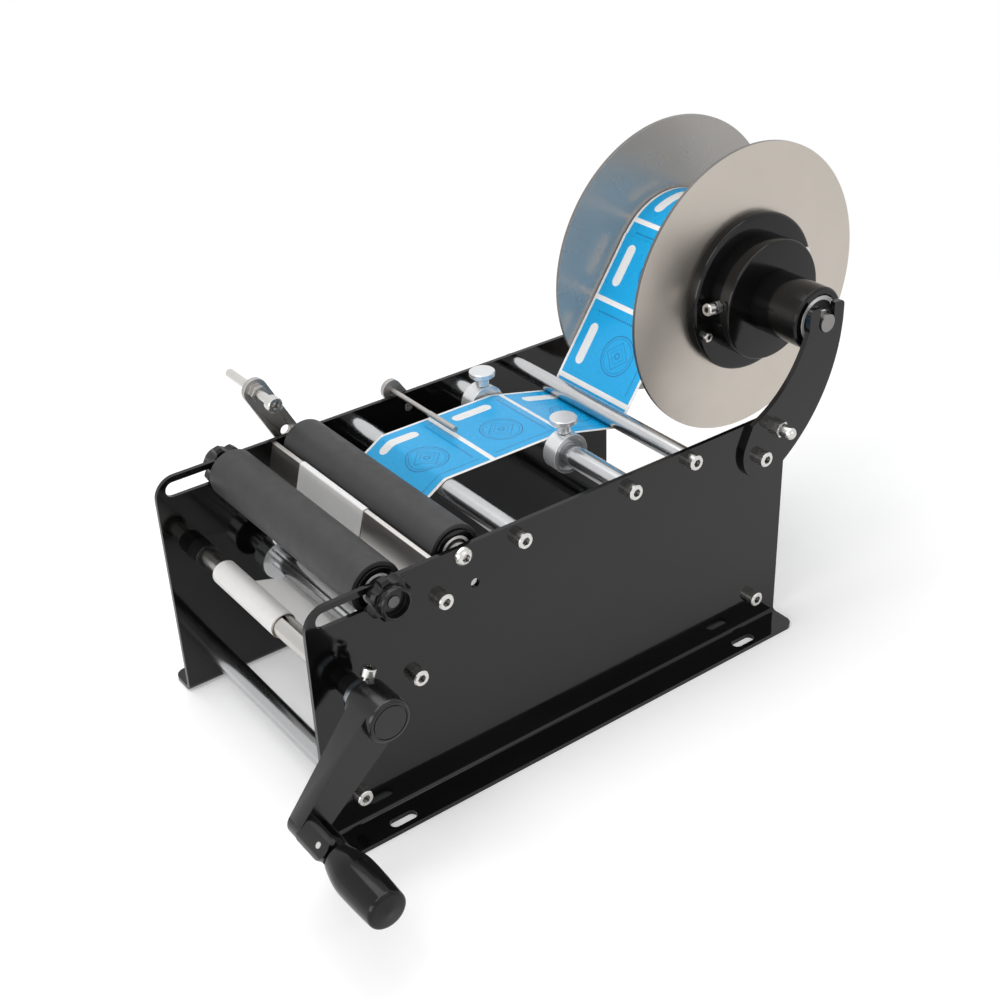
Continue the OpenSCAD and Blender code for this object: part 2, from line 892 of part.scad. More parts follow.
// The knob on the left plate; the right one is its mirror image
module star_knob() {
    rim = 1.5;
    skirt_r = star_d / 2;
    cap_r = star_cap_d / 2;
    at_xz(front_at)
        along_y(outer_y + run_gap)
            difference() {
                union() {
                    intersection() {
                        linear_extrude(star_skirt_t)
                            star_outline();
                        rotate_extrude()
                            polygon([
                                [0, 0], [skirt_r - rim, 0], [skirt_r, rim],
                                [skirt_r, star_skirt_t - rim], [skirt_r - rim, star_skirt_t],
                                [0, star_skirt_t]
                            ]);
                    }
                    rotate_extrude()
                        polygon(concat(
                            [[0, rim], [cap_r, rim]],
                            [for (a = [0 : 22.5 : 90])
                                [cap_r - rim * (1 - cos(a)), star_t - rim * (1 - sin(a))]],
                            [[0, star_t]]
                        ));
                }
                translate([0, 0, star_t - star_dish])
                    cylinder(r = cap_r - rim, h = star_dish + 1);
                translate([0, 0, -1])
                    cylinder(d = stud_d + 2 * run_gap, h = star_t + 2);
            }
}

module star_knob_right() {
    color(black)
        mirror([0, 1, 0])
            star_knob();
}

module star_knob_left() {
    color(black)
        star_knob();
}

// Take-up
module takeup_bushes() {
    color(black)
        at_xz(takeup_at)
            both_sides()
                difference() {
                    union() {
                        y_rod(bush_d, inner_y - 1, outer_y + bush_proud);
                        y_rod(bush_flange_d, inner_y - bush_flange_t, inner_y);
                    }
                    y_rod(takeup_shaft_d + 2 * run_gap, 0, outer_y + 2 * bush_proud);
                }
}

// The shaft has a head outside the left bush and ends inside the crank hub
module takeup_shaft() {
    head_t = 2.5;
    color(steel)
        at_xz(takeup_at) {
            y_rod(takeup_shaft_d, shaft_end_y, outer_y + bush_proud + 0.3 + head_t);
            y_rod(bush_d + 2, outer_y + bush_proud + 0.3, outer_y + bush_proud + 0.3 + head_t);
        }
}

module takeup_tube() {
    tube_bore = takeup_shaft_d + 2 * seat_gap;
    tube_y0 = -inner_y + bush_flange_t + 3;
    tube_y1 = web_y1 - 2;
    color(steel)
        at_xz(takeup_at)
            difference() {
                y_ring(takeup_tube_d, tube_bore, tube_y0, tube_y1);
                rotate([0, -90, 0])
                    translate([0, tube_y0 - 1, -takeup_slit / 2])
                        cube([takeup_tube_d, tube_y1 - tube_y0 + 2, takeup_slit]);
            }
}

module takeup_paper() {
    color(white)
        at_xz(takeup_at)
            y_ring(paper_d, takeup_tube_d + 2 * seat_gap, web_y0, web_y1);
}

// Crank
module crank_place() {
    at_xz(takeup_at)
        rotate([0, -crank_angle, 0])
            children();
}

// Own Z axis along the set screw, through the collar's middle and away from the shaft
module set_screw_place() {
    translate([0, collar_y - collar_w / 2, 0])
        rotate([0, 90 - set_screw_angle, 0])
            children();
}

module crank_collar() {
    color(steel)
        at_xz(takeup_at)
            difference() {
                y_ring(collar_d, takeup_shaft_d + 2 * seat_gap, collar_y - collar_w + 0.1, collar_y);
                set_screw_place()
                    cylinder(d = set_screw_d + 2 * seat_gap, h = collar_d);
            }
}

module crank_set_screw() {
    head_z = collar_d / 2 + set_screw_out;
    color(chrome)
        at_xz(takeup_at)
            set_screw_place()
                translate([0, 0, head_z])
                    cap_screw(set_screw_d, head_z - takeup_shaft_d / 2 - 2 * seat_gap);
}

// Two ears that stand off the arm's outer side and hold the fold pin, rounded along their backs
module fork_ears() {
    round_d = 1.25 * ear_d;
    intersection() {
        for (s = [-1, 1])
            translate([crank_r, 0, s * (tongue_t / 2 + 0.3 + ear_t / 2) - ear_t / 2]) {
                translate([0, fold_y, 0])
                    cylinder(d = ear_d, h = ear_t);
                translate([-ear_d / 2, fold_y, 0])
                    cube([ear_d, crank_out_y - fold_y + 1, ear_t]);
            }
        translate([crank_r, 0, 0])
            y_rod(round_d, fold_y - ear_d, crank_out_y + 1);
    }
}

module arm_end(x, w, t) {
    translate([x, crank_out_y + t, 0])
        rotate([90, 0, 0])
            cylinder(d = w, h = t, $fn = 32);
}

module crank_arm() {
    cap_d = 0.75 * hub_d;
    rim = 1.8;
    color(black)
        crank_place()
            difference() {
                union() {
                    along_y(hub_face_y)
                        rotate_extrude()
                            polygon(concat(
                                [[0, 0]],
                                [for (a = [0 : 22.5 : 90])
                                    [hub_d / 2 - rim * (1 - sin(a)), rim * (1 - cos(a))]],
                                [[hub_d / 2, hub_l - 0.6], [hub_d / 2 - 0.6, hub_l], [0, hub_l]]
                            ));
                    hull() {
                        arm_end(0, arm_root_w, arm_root_t);
                        arm_end(crank_r, arm_tip_w, arm_tip_t);
                    }
                    fork_ears();
                }
                y_rod(takeup_shaft_d + 2 * seat_gap, shaft_end_y - 1, hub_y + 1);
                y_ring(cap_d + 1, cap_d, hub_face_y - 1, hub_face_y + 0.6);
                translate([crank_r, fold_y, -ear_d])
                    cylinder(d = fold_pin_d + 2 * seat_gap, h = 2 * ear_d);
            }
}

module fold_pin() {
    half = tongue_t / 2 + 0.3 + ear_t;
    color(chrome)
        crank_place()
            translate([crank_r, fold_y, -half])
                cylinder(d = fold_pin_d, h = 2 * half);
}

// Tongue in the fork, shoulder and spindle, in one turned and milled piece
module grip_spindle() {
    color(steel)
        crank_place()
            translate([crank_r, 0, 0])
                difference() {
                    union() {
                        translate([0, fold_y, -tongue_t / 2])
                            cylinder(d = ear_d - 1, h = tongue_t);
                        translate([-ear_d / 2 + 1, neck_y - 1, -tongue_t / 2])
                            cube([ear_d - 2, fold_y - neck_y + 1, tongue_t]);
                        y_rod(ear_d, grip_y + run_gap, neck_y);
                        y_rod(spindle_d, grip_end_y + 7, neck_y);
                    }
                    translate([0, fold_y, -tongue_t])
                        cylinder(d = fold_pin_d + 2 * run_gap, h = 2 * tongue_t);
                }
}

// Radius of the grip at share t of its length, from the neck to the end, widest at grip_widest
grip_widest = 0.4;

function grip_r(t) =
    t < grip_widest
        ? grip_neck_d / 2 + (grip_d - grip_neck_d) / 2 * sin(90 * t / grip_widest)
        : grip_d / 2 - (grip_d - grip_end_d) / 2 * pow((t - grip_widest) / (1 - grip_widest), 2);

module grip() {
    edge = 1.5;
    dome = 1;
    body_l = grip_l - dome;
    rings = 18;
    color(black)
        at_xz(grip_at)
            mirror([0, 1, 0])
                along_y(-grip_y)
                    difference() {
                        rotate_extrude()
                            polygon(concat(
                                [[0, 0]],
                                [for (k = [0 : rings]) [grip_r(k / rings), (body_l - edge) * k / rings]],
                                [for (a = [30 : 30 : 90])
                                    [grip_end_d / 2 - edge * (1 - cos(a)), body_l - edge * (1 - sin(a))]],
                                [[0, grip_l]]
                            ));
                        translate([0, 0, -1])
                            cylinder(d = spindle_d + 2 * run_gap, h = grip_l - 5);
                    }
}

// Reel arms
// Flank of an arm's foot: a straight edge from the end of the front edge on to the round foot
module foot_flank(from) {
    away = from - arm_foot_at;
    a = atan2(away[1], away[0]) + acos(min(1, arm_foot_d / 2 / norm(away)));
    polygon([from, arm_foot_at + arm_foot_d / 2 * [cos(a), sin(a)], arm_foot_at, arm_bolt_at]);
}

module arm_outline() {
    outer_c = reel_at + [arm_head_w / 2 - arm_head_ahead - arm_outer_r, arm_outer_up];
    inner_c = outer_c + [arm_inner_back, arm_inner_up];
    to_foot = (arm_foot_at - outer_c) / norm(arm_foot_at - outer_c);
    head_left = reel_at[0] - arm_head_ahead - arm_head_w / 2;
    head_z = inner_c[1] - sqrt(max(0, pow(arm_inner_r, 2) - pow(head_left - inner_c[0], 2)));
    lap = 1;
    inset = 0.05;
    far = 2 * arm_outer_r;
    apart = outer_c - inner_c;
    front_r = sqrt(pow(apart * to_foot, 2) - apart * apart + pow(arm_inner_r, 2)) - apart * to_foot;
    translate(arm_foot_at)
        circle(d = arm_foot_d);
    foot_flank(outer_c + (front_r + inset) * to_foot);
    intersection() {
        difference() {
            translate(outer_c)
                circle(arm_outer_r, $fn = 128);
            translate(inner_c)
                circle(arm_inner_r, $fn = 128);
        }
        polygon([
            outer_c, outer_c + far * to_foot, outer_c + [far, far * to_foot[1]],
            [outer_c[0] + far, head_z], [outer_c[0], head_z]
        ]);
    }
    translate([head_left, head_z - lap]) {
        straight_h = reel_at[1] + arm_head_up - arm_head_r - head_z + lap;
        square([arm_head_w, straight_h]);
        translate([arm_head_r, 0])
            square([arm_head_w - 2 * arm_head_r, straight_h + arm_head_r]);
        for (x = [arm_head_r, arm_head_w - arm_head_r])
            translate([x, straight_h])
                circle(arm_head_r);
    }
}

// The left arm; the right one is its mirror image
module reel_arm() {
    slot_w = reel_shaft_d + 0.6;
    slab(outer_y, outer_y + arm_t)
        difference() {
            arm_outline();
            translate(reel_at)
                circle(d = slot_w);
            translate([reel_at[0] - slot_w / 2, reel_at[1]])
                square([slot_w, arm_head_up + 1]);
            for (p = [arm_screw_at, arm_bolt_at])
                translate(p)
                    circle(d = screw_d + 2 * screw_clear);
        }
}

module right_arm() {
    color(black)
        mirror([0, 1, 0])
            reel_arm();
}

module left_arm() {
    color(black)
        reel_arm();
}

// Dome nut over a hex nut, standing on z = 0
module dome_nut(d) {
    dome_r = 0.72 * d;
    cylinder(d = nut_af(d) / cos(30), h = nut_h(d), $fn = 6);
    rotate_extrude()
        polygon(concat(
            [[0, 0], [dome_r, 0]],
            [for (a = [0 : 15 : 75]) [dome_r * cos(a), dome_out + dome_r * sin(a)]],
            [[0, dome_out + dome_r]]
        ));
}

module arm_fasteners() {
    stack = arm_t + sheet_t;
    color(chrome)
        both_sides() {
            at_xz(arm_screw_at) {
                along_y(outer_y + arm_t)
                    cap_screw(screw_d, stack + nut_h(screw_d) + 1);
                along_y(inner_y - nut_h(screw_d))
                    hex_nut(screw_d, nut_h(screw_d));
            }
            at_xz(arm_bolt_at) {
                translate([0, inner_y, 0])
                    rotate([90, 0, 0])
                        cap_screw(screw_d, stack);
                along_y(outer_y + arm_t)
                    dome_nut(screw_d);
            }
        }
}

// Reel
module reel_shaft() {
    shaft_end = outer_y + arm_t + 1;
    color(steel)
        at_xz(reel_at)
            y_rod(reel_shaft_d, -shaft_end, shaft_end);
}

module reel_bearing_inners() {
    ring_d = reel_shaft_d + 2 * bearing_ring_t;
    color(chrome)
        at_xz(reel_at)
            both_sides()
                y_ring(ring_d, reel_shaft_d + 2 * seat_gap, tube_end_y - reel_bearing_w, outer_y - 0.3);
}

module reel_bearing_outers() {
    bore = reel_shaft_d + 2 * bearing_ring_t + 4 * run_gap;
    color(chrome)
        at_xz(reel_at)
            both_sides()
                bearing_outer(reel_bearing_d, reel_ring_t, bore, tube_end_y - reel_bearing_w, tube_end_y);
}

module reel_tube() {
    edge = 1;
    shaft_room = 3;
    length = 2 * tube_end_y;
    color(black)
        at_xz(reel_at)
            difference() {
                along_y(-tube_end_y)
                    rotate_extrude()
                        polygon([
                            [0, 0], [hub_tube_d / 2 - edge, 0], [hub_tube_d / 2, edge],
                            [hub_tube_d / 2, length - edge], [hub_tube_d / 2 - edge, length], [0, length]
                        ]);
                y_rod(reel_shaft_d + 2 * shaft_room, -outer_y, outer_y);
                both_sides()
                    y_rod(reel_bearing_d + 2 * seat_gap, tube_end_y - reel_bearing_w, outer_y);
            }
}

module far_disc() {
    color(steel)
        at_xz(reel_at)
            y_ring(disc_d, hub_tube_d + 2 * run_gap, far_disc_y, far_disc_y + disc_t);
}

module near_disc() {
    color(steel)
        at_xz(reel_at)
            y_ring(disc_d, hub_tube_d + 2 * run_gap, near_disc_y - disc_t, near_disc_y);
}

// Flanged hub that stands on the origin along +Z, with softened rims
module disc_hub() {
    flange_rim = 2;
    boss_rim = 1;
    top = hub_flange_t + hub_boss_l;
    difference() {
        rotate_extrude()
            polygon(concat(
                [[0, 0], [hub_flange_d / 2, 0]],
                [for (a = [0 : 22.5 : 90])
                    [hub_flange_d / 2 - flange_rim * (1 - cos(a)),
                     hub_flange_t - flange_rim * (1 - sin(a))]],
                [[hub_boss_d / 2, hub_flange_t]],
                [for (a = [0 : 22.5 : 90])
                    [hub_boss_d / 2 - boss_rim * (1 - cos(a)), top - boss_rim * (1 - sin(a))]],
                [[0, top]]
            ));
        translate([0, 0, -1])
            cylinder(d = hub_tube_d + 2 * run_gap, h = top + 2);
    }
}

module far_hub() {
    color(black)
        at_xz(reel_at)
            along_y(far_disc_y + disc_t)
                disc_hub();
}

// The small screws stand on a circle half way between flange rim and boss
hub_screw_d = 3;
hub_screw_r = (hub_flange_d + hub_boss_d) / 4;
lock_d = 4;
lock_y = near_disc_y - disc_t - hub_flange_t - hub_boss_l / 2;

module at_hub_screws() {
    for (a = [hub_screw_angle, hub_screw_angle + 180])
        translate([hub_screw_r * cos(a), near_disc_y - disc_t - hub_flange_t, hub_screw_r * sin(a)])
            rotate([90, 0, 0])
                children();
}

module near_hub() {
    color(black)
        at_xz(reel_at)
            difference() {
                mirror([0, 1, 0])
                    along_y(-near_disc_y + disc_t)
                        disc_hub();
                at_hub_screws()
                    translate([0, 0, -hub_flange_t + 1])
                        cylinder(d = hub_screw_d + 2 * seat_gap, h = hub_flange_t);
                lock_place()
                    cylinder(d = lock_d + 2 * run_gap, h = hub_boss_d);
            }
}

module near_hub_screws() {
    color(chrome)
        at_xz(reel_at)
            at_hub_screws()
                cap_screw(hub_screw_d, hub_flange_t - 1.5);
}

// Own Z axis along the lock screw, pointing away from the reel axis
module lock_place() {
    translate([0, lock_y, 0])
        rotate([0, 90 - lock_angle, 0])
            children();
}

module hub_lock_screw() {
    nut_z = hub_boss_d / 2 + 0.3;
    head_z = nut_z + nut_h(lock_d) + 2;
    color(chrome)
        at_xz(reel_at)
            lock_place() {
                translate([0, 0, head_z])
                    cap_screw(lock_d, head_z - hub_tube_d / 2 - 0.3);
                translate([0, 0, nut_z])
                    hex_nut(lock_d, nut_h(lock_d));
            }
}

// The wound labels and the card core inside them
module label_roll() {
    card_d = core_id + 2 * core_t;
    color(blue)
        at_xz(reel_at) {
            y_ring(card_d, core_id, web_y0, web_y1);
            y_ring(roll_d, card_d + 2 * seat_gap, web_y0, web_y1);
        }
}

// Label web
module label_web() {
    places = concat(
        web_places(1, web_last - 1),
        [[touch(web_circles[web_last], headings[web_last - 1]), headings[web_last - 1]]]
    );
    color(blue)
        slab(web_y0, web_y1)
            polygon(strip(places));
}

module label_feed() {
    h = headings[0];
    color(blue)
        slab(web_y0, web_y1)
            polygon(strip([[touch(web_circles[0], h), h], [touch(web_circles[1], h), h]]));
}

// Guides
// Collar whose inner face is at y = 0, towards +Y, with its tapped hole upright
module guide_collar(rod_d) {
    recess_d = guide_d - 4;
    difference() {
        y_ring(guide_d, rod_d + 2 * run_gap, 0, guide_w);
        y_rod(recess_d, guide_w - 2, guide_w + 1);
        translate([0, guide_w / 2 - 1, 0])
            cylinder(d = screw_d + 2 * run_gap, h = guide_d);
    }
}

// The head tapers below its rim to the neck
module thumb_screw(rod_d) {
    edge = 0.8;
    neck_z = guide_d / 2 + 0.3;
    head_z = neck_z + thumb_neck_h;
    top = head_z + thumb_t;
    tip_z = rod_d / 2 + 0.3;
    translate([0, guide_w / 2 - 1, 0])
        rotate_extrude()
            polygon([
                [0, tip_z], [screw_d / 2, tip_z], [screw_d / 2, neck_z], [thumb_neck_d / 2, neck_z],
                [thumb_neck_d / 2, head_z - 1], [thumb_d / 2 - edge, head_z + edge],
                [thumb_d / 2, head_z + 2 * edge], [thumb_d / 2, top - edge / 2],
                [thumb_d / 2 - edge / 2, top], [0, top]
            ]);
}

// Short set screw that stands a little out of a plain collar
module collar_screw(rod_d) {
    tip_z = rod_d / 2 + 0.3;
    top = guide_d / 2 + 3;
    translate([0, guide_w / 2 - 1, tip_z])
        difference() {
            cylinder(d = screw_d, h = top - tip_z);
            translate([0, 0, top - tip_z - 2])
                cylinder(d = screw_d / 2 / cos(30), h = 3, $fn = 6);
        }
}

module left_guide_place(p, gap) {
    at_xz(p)
        translate([0, web_y1 + gap, 0])
            children();
}

module right_guide_place(p, gap) {
    at_xz(p)
        translate([0, web_y0 - gap, 0])
            mirror([0, 1, 0])
                children();
}

module guide_collar_right() {
    color(chrome)
        right_guide_place(guide_at, guide_gap)
            guide_collar(guide_rod_d);
}

module guide_screw_right() {
    color(chrome)
        right_guide_place(guide_at, guide_gap)
            thumb_screw(guide_rod_d);
}

module guide_collar_left() {
    color(chrome)
        left_guide_place(guide_at, guide_gap)
            guide_collar(guide_rod_d);
}

module guide_screw_left() {
    color(chrome)
        left_guide_place(guide_at, guide_gap)
            thumb_screw(guide_rod_d);
}

module backing_collar_right() {
    color(chrome)
        right_guide_place(backing_at, backing_gap) {
            guide_collar(backing_rod_d);
            collar_screw(backing_rod_d);
        }
}

module backing_collar_left() {
    color(chrome)
        left_guide_place(backing_at, backing_gap) {
            guide_collar(backing_rod_d);
            collar_screw(backing_rod_d);
        }
}

// Levers on the left plate
// Lever outline from its pivot, leaning towards the front
module lever_outline(w, l, lean, holes) {
    rotate(90 + lean)
        difference() {
            bar_outline(w, l);
            for (h = holes)
                translate([h[0], 0])
                    circle(d = h[1]);
        }
}

stop_tip_at = stop_at + stop_lever_l * [-sin(stop_lean), cos(stop_lean)];
pointer_tip_at = pointer_at + pointer_lever_l * [-sin(pointer_lean), cos(pointer_lean)];

module stop_lever() {
    slot_d = screw_d + 1;
    nut_t = nut_h(stop_screw_d);
    color(steel)
        difference() {
            union() {
                at_xz(stop_at) {
                    slab(stop_y, stop_y + lever_t)
                        lever_outline(lever_w, stop_lever_l, stop_lean, [[0.45 * stop_lever_l, slot_d]]);
                    y_rod(2 * screw_d, lever_y, stop_y + 0.5);
                }
                at_xz(stop_tip_at)
                    along_y(stop_y - nut_t)
                        cylinder(d = nut_af(stop_screw_d) / cos(30), h = nut_t + 0.5, $fn = 6);
            }
            at_xz(stop_at)
                y_rod(screw_d + 2 * run_gap, lever_y - 1, stop_y + lever_t + 1);
            at_xz(stop_tip_at)
                y_rod(stop_screw_d + 2 * run_gap, stop_y - nut_t - 1, stop_y + lever_t + 1);
        }
}

// The head of the stop screw faces into the machine
module stop_screw() {
    color(chrome)
        at_xz(stop_tip_at)
            translate([0, inner_y - stop_set, 0])
                rotate([90, 0, 0])
                    cap_screw(stop_screw_d, stop_screw_l);
}

module pointer_lever() {
    pointer_lever_w = 12;
    holes = [[0, screw_d + 2 * run_gap], [pointer_lever_l, pointer_d + 2 * seat_gap]];
    color(steel)
        at_xz(pointer_at)
            slab(lever_y, lever_y + lever_t)
                lever_outline(pointer_lever_w, pointer_lever_l, pointer_lean, holes);
}

module pointer_rod() {
    sleeve_d = pointer_d + 0.5;
    tip_y = inner_y - pointer_l;
    color(chrome)
        at_xz(pointer_tip_at) {
            y_rod(pointer_d, tip_y, lever_y + lever_t + 1);
            y_rod(sleeve_d, tip_y, tip_y + sleeve_l);
        }
}

right_plate();
left_plate();
foot_rods();
backing_rod();
peel_bar();
lead_rod();
guide_rod();
drop_rod();
tie_screws_right();
tie_screws_left();
button_screws();
rear_roller_shaft();
rear_bearing_inners();
rear_roller_core();
rear_roller_sleeve();
rear_bearing_outers();
front_roller_shaft();
front_bearing_inners();
front_roller_core();
front_roller_sleeve();
front_bearing_outers();
star_knob_right();
star_knob_left();
takeup_bushes();
takeup_shaft();
takeup_tube();
takeup_paper();
crank_collar();
crank_set_screw();
crank_arm();
fold_pin();
grip_spindle();
grip();
right_arm();
left_arm();
arm_fasteners();
reel_shaft();
reel_bearing_inners();
reel_bearing_outers();
reel_tube();
far_disc();
far_hub();
label_roll();
near_disc();
near_hub();
near_hub_screws();
hub_lock_screw();
label_web();
label_feed();
guide_collar_right();
guide_screw_right();
guide_collar_left();
guide_screw_left();
backing_collar_right();
backing_collar_left();
pointer_lever();
pointer_rod();
stop_lever();
stop_screw();
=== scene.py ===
"""Looks of the hand-cranked bottle labelling machine: finishes, printed label web and studio.

Metres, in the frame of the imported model: X runs from the bottle rollers to the reel, Y from the
crank side to the far side and Z up.
"""
import math

import bmesh
import bpy
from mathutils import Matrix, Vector


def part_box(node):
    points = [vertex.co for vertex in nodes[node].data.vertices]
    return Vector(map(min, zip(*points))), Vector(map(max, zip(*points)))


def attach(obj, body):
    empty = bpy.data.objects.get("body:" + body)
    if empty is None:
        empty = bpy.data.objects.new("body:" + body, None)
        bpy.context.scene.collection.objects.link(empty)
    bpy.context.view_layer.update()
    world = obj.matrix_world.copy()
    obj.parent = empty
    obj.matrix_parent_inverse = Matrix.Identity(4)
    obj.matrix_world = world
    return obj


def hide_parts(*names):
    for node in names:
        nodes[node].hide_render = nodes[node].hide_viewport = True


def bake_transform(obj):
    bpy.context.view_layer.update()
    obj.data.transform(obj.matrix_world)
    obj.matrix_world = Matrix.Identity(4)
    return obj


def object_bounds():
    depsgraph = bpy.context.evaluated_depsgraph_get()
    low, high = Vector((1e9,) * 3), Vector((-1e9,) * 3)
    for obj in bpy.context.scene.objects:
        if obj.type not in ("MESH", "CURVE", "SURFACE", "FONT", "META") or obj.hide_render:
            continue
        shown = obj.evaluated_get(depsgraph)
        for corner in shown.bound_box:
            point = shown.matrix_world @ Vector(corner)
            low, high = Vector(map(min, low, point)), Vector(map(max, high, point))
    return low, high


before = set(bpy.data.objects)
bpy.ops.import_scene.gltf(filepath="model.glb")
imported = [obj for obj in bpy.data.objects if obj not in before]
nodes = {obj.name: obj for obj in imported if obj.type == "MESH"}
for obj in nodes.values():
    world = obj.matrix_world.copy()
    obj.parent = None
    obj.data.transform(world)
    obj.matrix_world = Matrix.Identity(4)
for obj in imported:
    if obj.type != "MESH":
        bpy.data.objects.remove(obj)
cad_low, cad_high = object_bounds()

MM = 0.001

# Camera at the photograph's viewing angle
CAMERA_PLACE = (-0.39333, -0.57009, 0.51472)
CAMERA_TURN_DEG = (59.0085, 2.0735, -36.7129)
CAMERA_LENS_MM = 54.437
CAMERA_SENSOR_MM = 36
CAMERA_CLIP = (0.01, 50)

# Floor: its own white, the glow that the camera sees on it, and the distances from the middle
# between which it fades to the white of the background
FLOOR_SIZE = 12.0
FLOOR_DROP = 0.1 * MM
FLOOR_WHITE = 0.86
FLOOR_LIFT = 0.24
FLOOR_FADE = (0.34, 0.85)

# Light of the surroundings, and the place, size and watts of each lamp
WORLD_DIFFUSE = 0.42
LAMPS = {
    "top_softbox": ((0.15, 0.35, 1.7), (1.5, 1.2), 15.0),
    "left_softbox": ((-1.5, -0.3, 0.4), (1.9, 0.7), 13.0),
    "roller_softbox": ((-0.7, -0.05, 1.25), (0.6, 0.6), 3.6),
    "front_softbox": ((0.3, -1.7, 0.9), (1.4, 1.1), 3.0),
}

# Softening of the edges of the solids
EDGE_ANGLE_DEG = 35
EDGE_SEGMENTS = 2
EDGE_WIDTH = 0.25 * MM
FINE_EDGE_WIDTH = 0.12 * MM
COLLAR_EDGE_WIDTH = 0.35 * MM
MOULDED_EDGE_WIDTH = 0.4 * MM
CAST_EDGE_WIDTH = 0.5 * MM
WELD_REACH = 0.001 * MM

# Label web. Distances along it are measured from the point where it leaves the roll.
WEB_CLEAR = 0.3 * MM
WEB_THICK = 0.25 * MM
LABEL_THICK = 0.1 * MM
LABEL_PITCH = 48 * MM
LABEL_LONG = 45 * MM
LABEL_WIDE = 57.4 * MM
LABEL_FIRST = -9.5 * MM
LABEL_LEAST = 0.5 * MM
ARC_STEP = math.radians(5)
STRAIGHT_STEP = 2.5 * MM

# Numbers of two runs of the web's route: round the drop rod and round the peel edge
RUN_DROP_ROD = 2
RUN_PEEL_EDGE = 10

# Peel bar: the peel edge, the front edge of the flat top and the heel that the web runs over
PEEL_GAP = 2.1 * MM
PEEL_RISE = math.radians(13.3)
PEEL_TIP_R = 0.6 * MM
PEEL_LAND = 1.5 * MM
PEEL_LAND_FALL = 0.1
PEEL_FACE = 27 * MM
PEEL_LEAN = math.radians(12)
PEEL_HEEL_R = 2 * MM

# Wound roll and its card core
ROLL_TURN = math.radians(330)
ROLL_LAYERS = 26
ROLL_RIDGE = 0.12 * MM
ROLL_SEGMENTS = 128
CORE_FIT = 0.2 * MM
CORE_WALL = 2 * MM
CORE_CLEAR = 0.05 * MM
CORE_SEGMENTS = 96

# Backing paper on the take-up tube. Its edges stray in waves of a height, rate and start each.
WOUND_TURNS = 3.6
WOUND_THICK = 0.13 * MM
WOUND_STEPS = 48
WOUND_CLEAR = 0.05 * MM
WOUND_STRAY = ((0.35 * MM, 2.1, 0), (0.25 * MM, 0.7, 1))


# Frame helpers

def middle(node):
    low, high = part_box(node)
    return (low + high) / 2


def radius(node):
    low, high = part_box(node)
    return (high.x - low.x) / 2


def round_of(node, side=1):
    """The circle of a node that lies along Y, as X, Z and radius. Side is 1 where it lies to the
    left of the web as it travels, and -1 to the right."""
    at = middle(node)
    return (at.x, at.z, side * radius(node))


# Nodes

def feed(tree, socket, value):
    """Links an output to the socket, or sets the socket's own value."""
    if isinstance(value, bpy.types.NodeSocket):
        tree.links.new(value, socket)
    else:
        socket.default_value = value


def add_node(tree, kind, inputs=(), **settings):
    made = tree.nodes.new(kind)
    for name, value in settings.items():
        setattr(made, name, value)
    for socket, value in dict(inputs).items():
        feed(tree, made.inputs[socket], value)
    return made


# Meshes

class Shape:
    """Points and faces gathered for one mesh. Each face has a material slot and may have UVs."""

    def __init__(self):
        self.points = []
        self.faces = []

    def ring(self, corners):
        """Adds points and returns their numbers."""
        first = len(self.points)
        self.points.extend(corners)
        return list(range(first, len(self.points)))

    def face(self, corners, slot=0, uv=None):
        self.faces.append((corners, slot, uv))

    def sleeve(self, rings):
        """Faces between each ring and the next, and a cap on each end."""
        count = len(rings[0])
        for a, b in zip(rings, rings[1:]):
            for k in range(count):
                m = (k + 1) % count
                self.face((a[k], a[m], b[m], b[k]))
        self.face(rings[0])
        self.face(rings[-1])

    def piece(self, name, materials):
        mesh = bpy.data.meshes.new(name)
        mesh.from_pydata(self.points, [], [f[0] for f in self.faces])
        layer = mesh.uv_layers.new(name="web")
        for polygon, (corners, slot, uv) in zip(mesh.polygons, self.faces):
            polygon.material_index = slot
            for loop, place in zip(polygon.loop_indices, uv or [(0.0, 0.0)] * len(corners)):
                layer.data[loop].uv = place
        for material in materials:
            mesh.materials.append(material)
        solid = bmesh.new()
        solid.from_mesh(mesh)
        bmesh.ops.recalc_face_normals(solid, faces=solid.faces)
        solid.to_mesh(mesh)
        solid.free()
        made = bpy.data.objects.new(name, mesh)
        bpy.context.scene.collection.objects.link(made)
        return made


def smoothing_group():
    """Smooth shading on curved stretches, with sharp edges where faces meet at an angle."""
    group = bpy.data.node_groups.new("smooth_by_angle", "GeometryNodeTree")
    for way in ("INPUT", "OUTPUT"):
        group.interface.new_socket("Geometry", in_out=way, socket_type="NodeSocketGeometry")
    start = add_node(group, "NodeGroupInput")
    plain = add_node(group, "GeometryNodeRemoveAttribute", {
        "Geometry": start.outputs[0], "Name": "custom_normal"})
    smooth = add_node(group, "GeometryNodeSetShadeSmooth", {
        "Geometry": plain.outputs[0]}, domain="FACE")
    angle = add_node(group, "GeometryNodeInputMeshEdgeAngle").outputs["Unsigned Angle"]
    over = add_node(group, "FunctionNodeCompare", {
        0: angle, 1: math.radians(EDGE_ANGLE_DEG)}, operation="GREATER_THAN")
    sharp = add_node(group, "GeometryNodeSetShadeSmooth", {
        "Geometry": smooth.outputs[0], "Selection": over.outputs[0], "Shade Smooth": False,
    }, domain="EDGE")
    add_node(group, "NodeGroupOutput", {0: sharp.outputs[0]})
    return group


SMOOTHING = smoothing_group()


